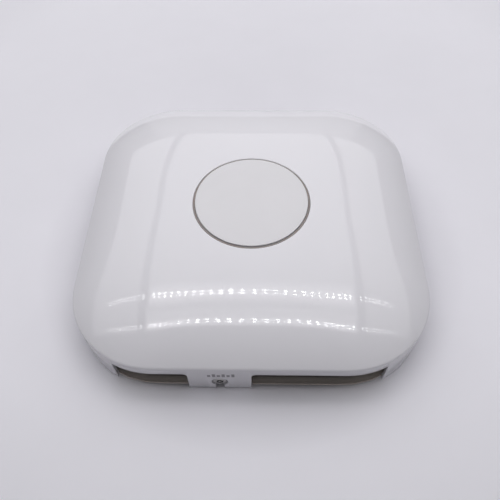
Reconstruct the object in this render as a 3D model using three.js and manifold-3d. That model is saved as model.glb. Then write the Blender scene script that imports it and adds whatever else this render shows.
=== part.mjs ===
// A ceiling access point: a glossy pillow-shaped cover on a coved tray, with the boards, sockets and
// antennas inside, and the steel ceiling bracket that the tray slides onto.
//
// Millimetres, +Z up. The ceiling plane is z = 0 and the dome points up; the front is at -Y.
import * as THREE from "three";
import { mergeVertices } from "three/addons/utils/BufferGeometryUtils.js";
import Module from "manifold-3d";

const wasm = await Module();
wasm.setup();

// ---- Driving dimensions -------------------------------------------------------------------

// Cover
const SIDE = 220; // plan width and depth
const PLAN_CORNER = 55; // plan corner radius
const CREASE_Z = 26.5; // height of the skirt, up to the edge of the dome
const DOME_RISE = 17.6; // from the crease to the middle of the dome
const CROWN_POWER = 4.2; // of the dome's section: higher is flatter in the middle
const LEVEL_POWER = 4.4; // squareness of the dome's level lines near the crease
const WALL = 2.2; // skirt thickness
const SHELL = 2.5; // dome thickness
const CREASE_ROUND = 0.8;

// Clearances
const TOUCH = 0.2; // between two pieces that rest on each other
const FIT = 0.5; // between the tray and the cover's skirt
const RUN = 0.3; // radial clearance round anything that moves
const DRILL = 0.3; // radial clearance of a hole round its screw

// Front of the skirt: a full-height tab between two cut-aways
const TAB_CENTRE_X = -17.4;
const TAB_WIDTH = 37.2;
const CUTAWAY_REACH = 80; // how far each cut-away runs from the middle
const CUTAWAY_HEIGHT = 19.5;
const CUTAWAY_ROUND = 3; // inner top corner of each cut-away
const KEYHOLE_RADIUS = 5;
const KEYHOLE_SLOT = 5; // width of the open slot under the keyhole
const SCREW_Z = 8.5; // height of the security screw
const NOTCH_WIDTH = 22; // cable notch in the rear of the skirt
const NOTCH_HEIGHT = 9;

// Badge and light guide
const BADGE_RADIUS = 36.9;
const BADGE_PROUD = 0.7;
const BADGE_THICK = 3.2;
const GUIDE_WALL = 1.2;
const GUIDE_FLOOR = 1;
const GUIDE_SUNK = 0.3;
const RING_GAP = 0.2;
const LIGHT_WELL_RADIUS = 24;
const POCKET_FLOOR = 2;

// Tray
const RIM_BOTTOM_Z = 2;
const RIM_HEIGHT = 1.6;
const RIM_SETBACK = 1.4; // of the rim behind the skirt's face, in the cut-aways
const COVE_IN = 6.8;
const COVE_TOP_Z = 21;
const TRAY_WALL = 2.2;
const TRAY_LIP = 1.6;

// Ceiling bracket and the recess that hides it
const SHEET = 1.5;
const BRACKET_WIDTH = 112;
const BRACKET_CORNER = 8;
const BRACKET_FRONT_INSET = 24; // from the cover's front face
const BRACKET_TRAVEL = 10;
const BRIDGE_TOP_Z = 6.9;
const BRIDGE_WIDTH = 24;
const BRIDGE_LENGTH = 30;
const RECESS_CEILING_Z = 7.5;
const RECESS_PLATE = 1.6;
const RECESS_GAP = 2;
const LUG_WIDTH = 14;
const LUG_RISE = 4.5; // of the lug above the screw's axis
const STUD_X = 42;
const STUD_NECK_RADIUS = 2.5;
const STUD_HEAD_RADIUS = 4.75;
const STUD_HEAD_THICK = 2.2;
const STUD_FLANGE_RADIUS = 4;
const STUD_FLANGE_THICK = 0.8;
const CEILING_HOLE_RADIUS = 2.5;
const CEILING_HOLE_X = 18;
const CABLE_HOLE_WIDTH = 46;
const CABLE_HOLE_LENGTH = 40;

// Security screw
const SCREW_HEAD_RADIUS = 4;
const SCREW_HEAD_LENGTH = 3.8;
const SCREW_HEAD_SUNK = 0.4; // of the head's face behind the skirt's face
const SCREW_SHANK_RADIUS = 2;
const SCREW_PAST_LUG = 1.5;
const SCREW_TRAVEL = 3.5;
const SOCKET_RADIUS = 2.3;
const SOCKET_DEPTH = 2.2;
const SOCKET_PIN_RADIUS = 0.7;
const RETAINER_RADIUS = 3.6;
const RETAINER_THICK = 1;
const SEAT_RADIUS = 3.6;

// Connector bay at the rear
const BAY_WIDTH = 100;
const BAY_DEPTH = 35;
const BAY_BACK_INSET = 22; // from the cover's rear face to the bay's rear wall
const BAY_WALL = 2;
const BAY_CEILING_Z = 26;

// Main board and what stands on it
const BOARD_Z = 10.6;
const BOARD_THICK = 1.6;
const BOARD_SIDE_INSET = 40;
const BOARD_FRONT_INSET = 26;
const BOARD_CORNER = 12;
const POST_RADIUS = 3;
const POST_INSET = 5.5;
const BOARD_SCREW = { shank: 1.3, head: 2.7, headHeight: 1.8, grip: 6 };
const CASE_SCREW = { shank: 1.7, head: 3.2, headHeight: 2, grip: 9 };
const CASE_BOSS_INSET = 32;
const CASE_BOSS_RADIUS = 4.5;
const CASE_BOSS_SPLIT_Z = 9;
const JACK = { width: 16, height: 13.2, length: 21 };
const JACK_MOUTH = { width: 11.9, height: 8.2, depth: 14, bottom: 2.1 };
const JACK_KEY = { width: 6.2, height: 2.2 };
const ETHERNET_X = -26;
const CONSOLE_X = -3;
const POWER = { x: 19, width: 9, height: 11, length: 14, bore: 3.2, depth: 9, pin: 1 };
const RESET = { x: 37, cap: 2, flange: 3, flangeThick: 1, proud: 1, height: 5, travel: 0.6 };
const SWITCH = { width: 6, length: 4, plunger: 1.2, plungerLength: 0.8 };
const PROCESSOR = { x: 6, forward: 62, width: 42, length: 40, height: 3.2 };
const PAD = { thick: 1, inset: 4 };
const HEAT_SINK = { base: 2, finHeight: 6, finThick: 1.4, fins: 7 };
const RADIO = { x: 48, forward: 48, width: 26, length: 44, height: 3 };
const ANTENNA = { height: 11, length: 24, thick: 0.8, leg: 2.4, arm: 3, slot: 5 };
const ANTENNA_PLACE = { sideInset: 3, frontInset: 4, cornerInset: 24, middleY: 7, frontY: -37 };
const TRANSFORMER = { x: 50, forward: 16, width: 17, length: 15, height: 12 };
const MAGNETICS = { forward: 32, width: 16, length: 12, height: 6 };
const CAPACITOR = { x: 20, forward: 30, radius: 4, height: 11, pitch: 9.5, count: 3 };

// Light board under the badge
const LIGHT_BOARD = { outer: 32, inner: 10, thick: 1.4 };
const LAMP = { reach: 17, width: 3, height: 1, count: 4 };
const RIBBON = { width: 10, thick: 0.4, foot: 6, x: -22, forward: 48 };

// Rating plate, blank
const LABEL = { width: 26, length: 60, thick: 0.4, outward: 3.25 };

// Smoothness
const PLAN_STEPS = 72;
const DOME_STEPS = 8;
const COVE_STEPS = 5;
const ROUND_STEPS = 24;
const CORNER_STEPS = 4;

// ---- Worked out from the driving dimensions ------------------------------------------------

const HALF = SIDE / 2;
const TRAY_HALF = HALF - WALL - FIT;
const TAB_LEFT = TAB_CENTRE_X - TAB_WIDTH / 2;
const TAB_RIGHT = TAB_CENTRE_X + TAB_WIDTH / 2;
const RIM_TOP_Z = RIM_BOTTOM_Z + RIM_HEIGHT;
const TRAY_FLOOR_Z = RIM_BOTTOM_Z + TRAY_WALL;
const TRAY_TOP_Z = COVE_TOP_Z + TRAY_LIP;

const GUIDE_INNER = BADGE_RADIUS + RING_GAP;
const GUIDE_OUTER = GUIDE_INNER + GUIDE_WALL;
const POCKET_RADIUS = GUIDE_OUTER + RING_GAP;
const POCKET_WALL_RADIUS = POCKET_RADIUS + SHELL;
const BADGE_UNDER_Z = crown(BADGE_RADIUS) + BADGE_PROUD - BADGE_THICK;
const GUIDE_FLOOR_Z = BADGE_UNDER_Z - TOUCH - GUIDE_FLOOR;
const POCKET_Z = GUIDE_FLOOR_Z - TOUCH;
const POCKET_UNDER_Z = POCKET_Z - POCKET_FLOOR;

const BAY_BACK = HALF - BAY_BACK_INSET;
const BAY_FRONT = BAY_BACK - BAY_DEPTH;
const BAY_OUTER_FRONT = BAY_FRONT - BAY_WALL;

const LUG_FRONT = -HALF + BRACKET_FRONT_INSET;
const RECESS_FRONT = LUG_FRONT - 2 * RECESS_GAP;
const RECESS_BACK = BAY_OUTER_FRONT - RECESS_GAP;
const BRACKET_BACK = RECESS_BACK - RECESS_GAP - BRACKET_TRAVEL;
const RECESS_HALF = BRACKET_WIDTH / 2 + RECESS_GAP;
const RECESS_TOP_Z = RECESS_CEILING_Z + RECESS_PLATE;
const BRIDGE_AHEAD = BRIDGE_LENGTH / 2 + BRACKET_TRAVEL / 2 + 1; // from a bridge's front edge to its stud
const STUD_YS = [
  LUG_FRONT + SHEET + BRIDGE_AHEAD + BRACKET_CORNER + 3,
  BRACKET_BACK - BRACKET_CORNER - (BRIDGE_LENGTH - BRIDGE_AHEAD) - 1,
];
const LUG_POCKET_HALF = LUG_WIDTH / 2 + RECESS_GAP;
const LUG_POCKET_BACK = LUG_FRONT + SHEET + BRACKET_TRAVEL + RECESS_GAP;
const LUG_POCKET_Z = SCREW_Z + LUG_RISE + RECESS_GAP / 2;

const HEAD_FACE_Y = -HALF + SCREW_HEAD_SUNK;
const HEAD_BACK_Y = HEAD_FACE_Y + SCREW_HEAD_LENGTH;
const SEAT_Y = HEAD_BACK_Y + TOUCH;
const SCREW_TIP_Y = LUG_FRONT + SHEET + SCREW_PAST_LUG;
const TRAY_SKIN_Y = -(TRAY_HALF - COVE_IN) + TRAY_WALL + 1;
const RETAINER_Y = TRAY_SKIN_Y + SCREW_TRAVEL + RUN;

const BOARD_HALF = HALF - BOARD_SIDE_INSET;
const BOARD_FRONT = -HALF + BOARD_FRONT_INSET;
const BOARD_BACK = BAY_OUTER_FRONT - RUN;
const BOARD_TOP_Z = BOARD_Z + BOARD_THICK;
const PARTS_Z = BOARD_TOP_Z + TOUCH;
const POST_XY = [BOARD_HALF - POST_INSET, BOARD_FRONT + POST_INSET, BOARD_BACK - POST_INSET];
const CASE_XY = HALF - CASE_BOSS_INSET;
const RESET_Z = PARTS_Z + RESET.height;
const LIGHT_BOARD_Z = POCKET_UNDER_Z - TOUCH - LIGHT_BOARD.thick;

// ---- Shapes ---------------------------------------------------------------------------------

// Height of the dome at a given half-width.
function crown(half) {
  return CREASE_Z + DOME_RISE * (1 - (half / HALF) ** CROWN_POWER);
}

// Distance from the centre to the edge of a rounded square, along one direction.
function planReach(angle, half, corner) {
  const u = Math.abs(Math.cos(angle));
  const v = Math.abs(Math.sin(angle));
  const flat = half - corner;
  if (half * Math.min(u, v) <= flat * Math.max(u, v)) return half / Math.max(u, v);
  return flat * (u + v) + Math.sqrt(corner ** 2 - (flat * (u - v)) ** 2);
}

// The same for the dome's level line at a given half-width: a circle at the badge, squarer further
// out, and the skirt's own rounded square at the crease.
function levelReach(angle, half) {
  const share = Math.max(0, (half - POCKET_RADIUS) / (HALF - POCKET_RADIUS));
  const power = 2 + (LEVEL_POWER - 2) * share;
  const sum = Math.abs(Math.cos(angle)) ** power + Math.abs(Math.sin(angle)) ** power;
  const squared = share ** 3;
  const corner = (PLAN_CORNER * half) / HALF;
  return (1 - squared) * (half / sum ** (1 / power)) + squared * planReach(angle, half, corner);
}

// A closed surface of stacked outlines. Each row is {half, z, reach}: its half-width, its height and
// how far it reaches along a direction.
function pillow(rows) {
  const profile = rows.map((row) => new THREE.Vector2(row.half, row.z));
  const geometry = new THREE.LatheGeometry(profile, PLAN_STEPS);
  const place = geometry.getAttribute("position");
  for (let step = 0; step <= PLAN_STEPS; step += 1) {
    const angle = (2 * Math.PI * (step % PLAN_STEPS)) / PLAN_STEPS;
    rows.forEach((row, index) => {
      const reach = row.reach(angle);
      place.setXYZ(step * rows.length + index, reach * Math.sin(angle), -reach * Math.cos(angle), row.z);
    });
  }
  return solid(geometry);
}

// A row of a wall that stands a given distance inside the cover's face.
function wallRow(inset, z) {
  const half = HALF - inset;
  return { half, z, reach: (angle) => planReach(angle, half, PLAN_CORNER - inset) };
}

// A row that is a plain circle. Radius 0 is a point on the axis.
function roundRow(radius, z) {
  return { half: radius, z, reach: () => radius };
}

// A row of the dome, lowered by a drop and drawn in by a share of its own size.
function domeRow(half, drop = 0, shrink = 1) {
  return { half: half * shrink, z: crown(half) - drop, reach: (angle) => levelReach(angle, half) * shrink };
}

function solid(geometry) {
  geometry.deleteAttribute("normal");
  geometry.deleteAttribute("uv");
  const merged = mergeVertices(geometry, 1e-4);
  return new wasm.Manifold(
    new wasm.Mesh({
      numProp: 3,
      vertProperties: merged.getAttribute("position").array,
      triVerts: new Uint32Array(merged.index.array),
    }),
  );
}

function box(x0, x1, y0, y1, z0, z1) {
  const geometry = new THREE.BoxGeometry(x1 - x0, y1 - y0, z1 - z0);
  geometry.translate((x0 + x1) / 2, (y0 + y1) / 2, (z0 + z1) / 2);
  return solid(geometry);
}

// A box given by its centre and size in plan, standing on z0.
function block(x, y, width, length, z0, height) {
  return box(x - width / 2, x + width / 2, y - length / 2, y + length / 2, z0, z0 + height);
}

function upright(x, y, radius, z0, z1, steps = ROUND_STEPS) {
  const geometry = new THREE.CylinderGeometry(radius, radius, z1 - z0, steps);
  geometry.rotateX(Math.PI / 2);
  geometry.translate(x, y, (z0 + z1) / 2);
  return solid(geometry);
}

function along(x, z, radius, y0, y1, steps = ROUND_STEPS) {
  const geometry = new THREE.CylinderGeometry(radius, radius, y1 - y0, steps);
  geometry.translate(x, (y0 + y1) / 2, z);
  return solid(geometry);
}

// An outline with round corners, extruded from z0 to z1.
function plate(x0, x1, y0, y1, corner, z0, z1) {
  const shape = new THREE.Shape();
  shape.moveTo(x0 + corner, y0);
  shape.absarc(x1 - corner, y0 + corner, corner, -Math.PI / 2, 0);
  shape.absarc(x1 - corner, y1 - corner, corner, 0, Math.PI / 2);
  shape.absarc(x0 + corner, y1 - corner, corner, Math.PI / 2, Math.PI);
  shape.absarc(x0 + corner, y0 + corner, corner, Math.PI, 1.5 * Math.PI);
  return raised(shape, z0, z1);
}

function raised(shape, z0, z1) {
  const options = { depth: z1 - z0, bevelEnabled: false, curveSegments: CORNER_STEPS };
  const geometry = new THREE.ExtrudeGeometry(shape, options);
  geometry.translate(0, 0, z0);
  return solid(geometry);
}

// An outline drawn in x and z, extruded from y0 to y1.
function swept(shape, y0, y1) {
  const options = { depth: y1 - y0, bevelEnabled: false, curveSegments: CORNER_STEPS };
  const geometry = new THREE.ExtrudeGeometry(shape, options);
  geometry.rotateX(Math.PI / 2);
  geometry.translate(0, y1, 0);
  return solid(geometry);
}

function turned(points, steps = ROUND_STEPS) {
  const profile = points.map(([radius, z]) => new THREE.Vector2(radius, z));
  const geometry = new THREE.LatheGeometry(profile, steps);
  geometry.rotateX(Math.PI / 2);
  return solid(geometry);
}

const joined = (first, ...others) => others.reduce((sum, other) => sum.add(other), first);
const trimmed = (first, ...others) => others.reduce((rest, other) => rest.subtract(other), first);

// The four places with the same distance from both middle planes.
const corners = (x, y) => [[-x, -y], [x, -y], [x, y], [-x, y]];

// ---- Materials -------------------------------------------------------------------------------

const finish = (color, roughness, metalness = 0) =>
  new THREE.MeshStandardMaterial({ color, roughness, metalness });
const glossWhite = finish(0xeeedf1, 0.12);
const satinWhite = finish(0xe9e8ea, 0.35);
const lightGuide = finish(0xa39c9a, 0.4);
const beigePaint = finish(0x9a8f88, 0.5);
const steel = finish(0xb9bbbd, 0.35, 1);
const darkSteel = finish(0x77797c, 0.4, 1);
const tin = finish(0xc9cbcc, 0.3, 1);
const aluminium = finish(0xc4c6c8, 0.4, 1);
const board = finish(0x1d5b38, 0.5);
const lightBoard = finish(0xe4e6e2, 0.45);
const blackPlastic = finish(0x1b1b1d, 0.5);
const greyPlastic = finish(0x6d6f73, 0.5);
const pinkPad = finish(0xc99aa4, 0.8);
const lampResin = finish(0xf0efda, 0.3);
const nylon = finish(0xe8e6dc, 0.5);
const labelFilm = finish(0xdfe0e2, 0.4);
const ribbonFilm = finish(0xd8d4c4, 0.4);

const accessPoint = new THREE.Group();

function piece(name, shape, material) {
  const mesh = shape.getMesh();
  const geometry = new THREE.BufferGeometry();
  geometry.setAttribute("position", new THREE.BufferAttribute(mesh.vertProperties, 3));
  geometry.setIndex(new THREE.BufferAttribute(mesh.triVerts, 1));
  geometry.computeVertexNormals();
  const made = new THREE.Mesh(geometry, material);
  made.name = name;
  accessPoint.add(made);
}

// ---- Cover -----------------------------------------------------------------------------------

function domeRows(from, drop, shrink) {
  const rows = [];
  for (let step = 0; step <= DOME_STEPS; step += 1) {
    const share = 1 - (1 - step / DOME_STEPS) ** 1.5;
    rows.push(domeRow(from + (HALF - CREASE_ROUND - from) * share, drop, shrink));
  }
  return rows;
}

function coverShell() {
  const inward = (HALF - WALL) / HALF;
  const outside = domeRows(POCKET_RADIUS, 0, 1);
  const inside = domeRows(POCKET_WALL_RADIUS + 1, SHELL, inward).reverse();
  const rows = [
    roundRow(LIGHT_WELL_RADIUS, POCKET_Z),
    roundRow(POCKET_RADIUS, POCKET_Z),
    ...outside,
    wallRow(0, CREASE_Z - CREASE_ROUND),
    wallRow(0, 0),
    wallRow(WALL, 0),
    wallRow(WALL, CREASE_Z - SHELL - CREASE_ROUND),
    ...inside,
    roundRow(POCKET_WALL_RADIUS, POCKET_UNDER_Z),
    roundRow(LIGHT_WELL_RADIUS, POCKET_UNDER_Z),
    roundRow(LIGHT_WELL_RADIUS, POCKET_Z),
  ];
  return pillow(rows.reverse());
}

// What lies under the middle of the dome's thickness, which the screw bosses grow up to.
function coverCore() {
  const rows = [
    roundRow(0, 0),
    wallRow(WALL, 0),
    wallRow(WALL, CREASE_Z - SHELL),
    ...domeRows(POCKET_RADIUS, SHELL / 2, (HALF - WALL) / HALF).reverse(),
    roundRow(0, crown(POCKET_RADIUS) - SHELL / 2),
  ];
  return pillow(rows);
}

// The outline of one front cut-away, open at the bottom, with its inner top corner rounded.
function cutaway(inner, outer, clearance) {
  const side = Math.sign(outer - inner);
  const near = inner + side * clearance;
  const far = outer - side * clearance;
  const top = CUTAWAY_HEIGHT - clearance;
  const shape = new THREE.Shape();
  shape.moveTo(near, -CUTAWAY_ROUND);
  shape.lineTo(near, top - CUTAWAY_ROUND);
  const middle = near + side * CUTAWAY_ROUND;
  const start = side > 0 ? Math.PI : 0;
  shape.absarc(middle, top - CUTAWAY_ROUND, CUTAWAY_ROUND, start, Math.PI / 2, side > 0);
  shape.lineTo(far, top);
  shape.lineTo(far, -CUTAWAY_ROUND);
  shape.closePath();
  return swept(shape, -HALF - WALL, -HALF + PLAN_CORNER / 2);
}

const cutaways = (clearance) =>
  joined(cutaway(TAB_LEFT, -CUTAWAY_REACH, clearance), cutaway(TAB_RIGHT, CUTAWAY_REACH, clearance));

function topCover() {
  const keyholeSlot = KEYHOLE_SLOT / 2;
  const keyhole = joined(
    along(TAB_CENTRE_X, SCREW_Z, KEYHOLE_RADIUS, -HALF - WALL, -HALF + 2 * WALL),
    box(TAB_CENTRE_X - keyholeSlot, TAB_CENTRE_X + keyholeSlot, -HALF - WALL, -HALF + 2 * WALL, -WALL, SCREW_Z),
  );
  const notch = NOTCH_WIDTH / 2;
  const rear = plate(-notch, notch, -WALL, NOTCH_HEIGHT, CUTAWAY_ROUND / 2, 0, 4 * WALL);
  const rearNotch = rear.rotate([90, 0, 0]).translate([0, HALF + 2 * WALL, 0]);
  const core = coverCore();
  const bosses = corners(CASE_XY, CASE_XY).map(([x, y]) =>
    upright(x, y, CASE_BOSS_RADIUS, CASE_BOSS_SPLIT_Z + TOUCH, crown(0), ROUND_STEPS / 2).intersect(core),
  );
  const bores = corners(CASE_XY, CASE_XY).map(([x, y]) =>
    upright(x, y, CASE_SCREW.shank + DRILL, 0, CASE_BOSS_SPLIT_Z + CASE_SCREW.grip + 1, ROUND_STEPS / 2),
  );
  return trimmed(joined(coverShell(), ...bosses), cutaways(0), keyhole, rearNotch, ...bores);
}

piece("top_cover", topCover(), glossWhite);

// ---- Badge, light guide and light board --------------------------------------------------------

function badgeDisc() {
  const rim = crown(BADGE_RADIUS) + BADGE_PROUD;
  const points = [[0, BADGE_UNDER_Z], [BADGE_RADIUS, BADGE_UNDER_Z], [BADGE_RADIUS, rim - RING_GAP / 2]];
  const rings = 4;
  for (let step = 0; step <= rings; step += 1) {
    const radius = (BADGE_RADIUS - RING_GAP / 2) * (1 - step / rings);
    points.push([radius, crown(radius) + BADGE_PROUD]);
  }
  return turned(points, 2 * ROUND_STEPS);
}

function lightGuideDish() {
  const top = crown(GUIDE_OUTER) - GUIDE_SUNK;
  const floor = GUIDE_FLOOR_Z + GUIDE_FLOOR;
  const points = [
    [0, GUIDE_FLOOR_Z],
    [GUIDE_OUTER, GUIDE_FLOOR_Z],
    [GUIDE_OUTER, top],
    [GUIDE_INNER, top],
    [GUIDE_INNER, floor],
    [0, floor],
  ];
  return turned(points, 2 * ROUND_STEPS);
}

function lightBoardRing() {
  const { outer, inner, thick } = LIGHT_BOARD;
  const disc = upright(0, 0, outer, LIGHT_BOARD_Z, LIGHT_BOARD_Z + thick);
  return trimmed(disc, upright(0, 0, inner, LIGHT_BOARD_Z - 1, LIGHT_BOARD_Z + thick + 1));
}

piece("badge_disc", badgeDisc(), satinWhite);
piece("light_guide", lightGuideDish(), lightGuide);
piece("light_board", lightBoardRing(), lightBoard);
for (let lamp = 0; lamp < LAMP.count; lamp += 1) {
  const angle = (2 * Math.PI * (lamp + 0.5)) / LAMP.count;
  const x = LAMP.reach * Math.cos(angle);
  const y = LAMP.reach * Math.sin(angle);
  const z = LIGHT_BOARD_Z + LIGHT_BOARD.thick + TOUCH;
  piece(`status_lamp_${lamp + 1}`, block(x, y, LAMP.width, LAMP.width, z, LAMP.height), lampResin);
}

// A flat flexible lead, folded at both ends, from the main board up to the light board.
function lightRibbon() {
  const { width, thick, foot, x, forward } = RIBBON;
  const y = BAY_FRONT - forward;
  const low = PARTS_Z;
  const high = LIGHT_BOARD_Z - TOUCH;
  const shape = new THREE.Shape();
  shape.moveTo(x - foot, low);
  shape.lineTo(x + thick, low);
  shape.lineTo(x + thick, high - thick);
  shape.lineTo(x + foot, high - thick);
  shape.lineTo(x + foot, high);
  shape.lineTo(x, high);
  shape.lineTo(x, low + thick);
  shape.lineTo(x - foot, low + thick);
  shape.closePath();
  return swept(shape, y - width / 2, y + width / 2);
}

piece("light_ribbon", lightRibbon(), ribbonFilm);

// ---- Tray --------------------------------------------------------------------------------------

function traySkin() {
  const outer = [];
  const inner = [];
  const edge = WALL + FIT;
  for (let step = 0; step <= COVE_STEPS; step += 1) {
    const angle = (step / COVE_STEPS) * (Math.PI / 2);
    const inset = edge + COVE_IN * Math.sin(angle);
    const z = COVE_TOP_Z - (COVE_TOP_Z - RIM_TOP_Z) * Math.cos(angle);
    outer.push(wallRow(inset, z));
    inner.push(wallRow(inset + TRAY_WALL, Math.max(z, TRAY_FLOOR_Z)));
  }
  const deepest = edge + COVE_IN;
  const rows = [
    roundRow(0, RIM_BOTTOM_Z),
    wallRow(edge, RIM_BOTTOM_Z),
    ...outer,
    wallRow(deepest, TRAY_TOP_Z),
    wallRow(deepest + TRAY_WALL, TRAY_TOP_Z),
    ...inner.reverse(),
    roundRow(0, TRAY_FLOOR_Z),
  ];
  return pillow(rows);
}

// The rim steps out to just behind the skirt's face where the skirt is cut away.
function rimSteps() {
  const ring = pillow([
    wallRow(WALL + FIT + 1, RIM_BOTTOM_Z),
    wallRow(RIM_SETBACK, RIM_BOTTOM_Z),
    wallRow(RIM_SETBACK, RIM_TOP_Z),
    wallRow(WALL + FIT + 1, RIM_TOP_Z),
    wallRow(WALL + FIT + 1, RIM_BOTTOM_Z),
  ]);
  return ring.intersect(cutaways(FIT));
}

// A hollow that opens downwards: its walls, and the space to cut out of them.
function hollow(x0, x1, y0, y1, ceiling, wall) {
  return {
    walls: box(x0 - wall, x1 + wall, y0 - wall, y1 + wall, RIM_BOTTOM_Z, ceiling + wall),
    space: box(x0, x1, y0, y1, -1, ceiling),
  };
}

function baseChassis() {
  const recess = hollow(-RECESS_HALF, RECESS_HALF, RECESS_FRONT, RECESS_BACK, RECESS_CEILING_Z, RECESS_PLATE);
  const bayHalf = BAY_WIDTH / 2;
  const bay = hollow(-bayHalf, bayHalf, BAY_FRONT, BAY_BACK, BAY_CEILING_Z, BAY_WALL);
  const lugLeft = TAB_CENTRE_X - LUG_POCKET_HALF;
  const lugRight = TAB_CENTRE_X + LUG_POCKET_HALF;
  const lug = hollow(lugLeft, lugRight, RECESS_FRONT, LUG_POCKET_BACK, LUG_POCKET_Z, RECESS_PLATE);
  const notch = NOTCH_WIDTH / 2;
  const channelEnd = TRAY_HALF - COVE_IN - TRAY_WALL;
  const channel = hollow(-notch, notch, BAY_BACK - 1, channelEnd, NOTCH_HEIGHT, BAY_WALL);
  const channelOut = box(-notch, notch, BAY_BACK - 1, HALF, -1, NOTCH_HEIGHT);

  const seat = along(TAB_CENTRE_X, SCREW_Z, SEAT_RADIUS, SEAT_Y, TRAY_SKIN_Y);
  const screwHole = along(TAB_CENTRE_X, SCREW_Z, SCREW_SHANK_RADIUS + RUN, -HALF, RECESS_FRONT + 1);

  const posts = [];
  const drills = [];
  const [postX, postFront, postBack] = POST_XY;
  for (const x of [-postX, postX]) {
    for (const y of [postFront, postBack]) {
      posts.push(upright(x, y, POST_RADIUS, RIM_BOTTOM_Z + 1, BOARD_Z - TOUCH, ROUND_STEPS / 2));
      const bottom = BOARD_TOP_Z - BOARD_SCREW.grip - 1;
      drills.push(upright(x, y, BOARD_SCREW.shank + DRILL, bottom, BOARD_Z, ROUND_STEPS / 2));
    }
  }
  for (const [x, y] of corners(CASE_XY, CASE_XY)) {
    posts.push(upright(x, y, CASE_BOSS_RADIUS, RIM_BOTTOM_Z + 1, CASE_BOSS_SPLIT_Z, ROUND_STEPS / 2));
    drills.push(upright(x, y, CASE_SCREW.shank + DRILL, -1, CASE_BOSS_SPLIT_Z + 1, ROUND_STEPS / 2));
    const sunk = RIM_BOTTOM_Z + CASE_SCREW.headHeight + TOUCH;
    drills.push(upright(x, y, CASE_SCREW.head + DRILL, -1, sunk + TOUCH, ROUND_STEPS / 2));
  }
  for (const x of [-STUD_X, STUD_X]) {
    for (const y of STUD_YS) {
      drills.push(upright(x, y, STUD_NECK_RADIUS + DRILL, 0, RECESS_TOP_Z + 1, ROUND_STEPS / 2));
    }
  }

  const windows = [];
  const jackTop = PARTS_Z + JACK.height;
  for (const x of [ETHERNET_X, CONSOLE_X]) {
    const half = JACK.width / 2 + RUN;
    windows.push(box(x - half, x + half, BAY_OUTER_FRONT - 1, BAY_FRONT + 1, PARTS_Z - RUN, jackTop + RUN));
  }
  const powerHalf = POWER.width / 2 + RUN;
  const powerTop = PARTS_Z + POWER.height + RUN;
  const { x: powerX } = POWER;
  windows.push(
    box(powerX - powerHalf, powerX + powerHalf, BAY_OUTER_FRONT - 1, BAY_FRONT + 1, PARTS_Z - RUN, powerTop),
    along(RESET.x, RESET_Z, RESET.cap + RUN, BAY_OUTER_FRONT - 1, BAY_FRONT + 1),
  );

  const solidTray = joined(
    traySkin(),
    rimSteps(),
    recess.walls,
    bay.walls,
    lug.walls,
    channel.walls,
    seat,
    ...posts,
  );
  const spaces = [recess.space, bay.space, lug.space, channel.space, channelOut, screwHole];
  return trimmed(solidTray, ...spaces, ...drills, ...windows);
}

piece("base_chassis", baseChassis(), beigePaint);

corners(CASE_XY, CASE_XY).forEach(([x, y], index) => {
  const { shank, head, headHeight, grip } = CASE_SCREW;
  const bottom = RIM_BOTTOM_Z + TOUCH;
  const top = CASE_BOSS_SPLIT_Z + grip;
  const screw = turned([[0, bottom], [head, bottom], [head, bottom + headHeight - TOUCH],
    [shank, bottom + headHeight - TOUCH], [shank, top], [0, top]]);
  piece(`case_screw_${index + 1}`, screw.translate([x, y, 0]), darkSteel);
});

const labelX = (RECESS_HALF + TRAY_HALF) / 2 - LABEL.outward;
const labelZ = RIM_BOTTOM_Z - TOUCH - LABEL.thick;
piece("label_plate", block(labelX, 0, LABEL.width, LABEL.length, labelZ, LABEL.thick), labelFilm);

// ---- Security screw ------------------------------------------------------------------------------

function securityScrew() {
  const body = joined(
    along(TAB_CENTRE_X, SCREW_Z, SCREW_HEAD_RADIUS, HEAD_FACE_Y, HEAD_BACK_Y),
    along(TAB_CENTRE_X, SCREW_Z, SCREW_SHANK_RADIUS, HEAD_BACK_Y - 1, SCREW_TIP_Y, ROUND_STEPS / 2),
  );
  const socket = trimmed(
    along(TAB_CENTRE_X, SCREW_Z, SOCKET_RADIUS, HEAD_FACE_Y - 1, HEAD_FACE_Y + SOCKET_DEPTH, 6),
    along(TAB_CENTRE_X, SCREW_Z, SOCKET_PIN_RADIUS, HEAD_FACE_Y - 2, HEAD_FACE_Y + SOCKET_DEPTH + 1, 8),
  );
  return trimmed(body, socket);
}

function screwRetainer() {
  const ring = along(TAB_CENTRE_X, SCREW_Z, RETAINER_RADIUS, RETAINER_Y, RETAINER_Y + RETAINER_THICK);
  const hole = SCREW_SHANK_RADIUS + TOUCH;
  return trimmed(ring, along(TAB_CENTRE_X, SCREW_Z, hole, RETAINER_Y - 1, RETAINER_Y + RETAINER_THICK + 1));
}

piece("security_screw", securityScrew(), steel);
piece("screw_retainer", screwRetainer(), nylon);

// ---- Ceiling bracket and its studs -----------------------------------------------------------------

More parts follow.
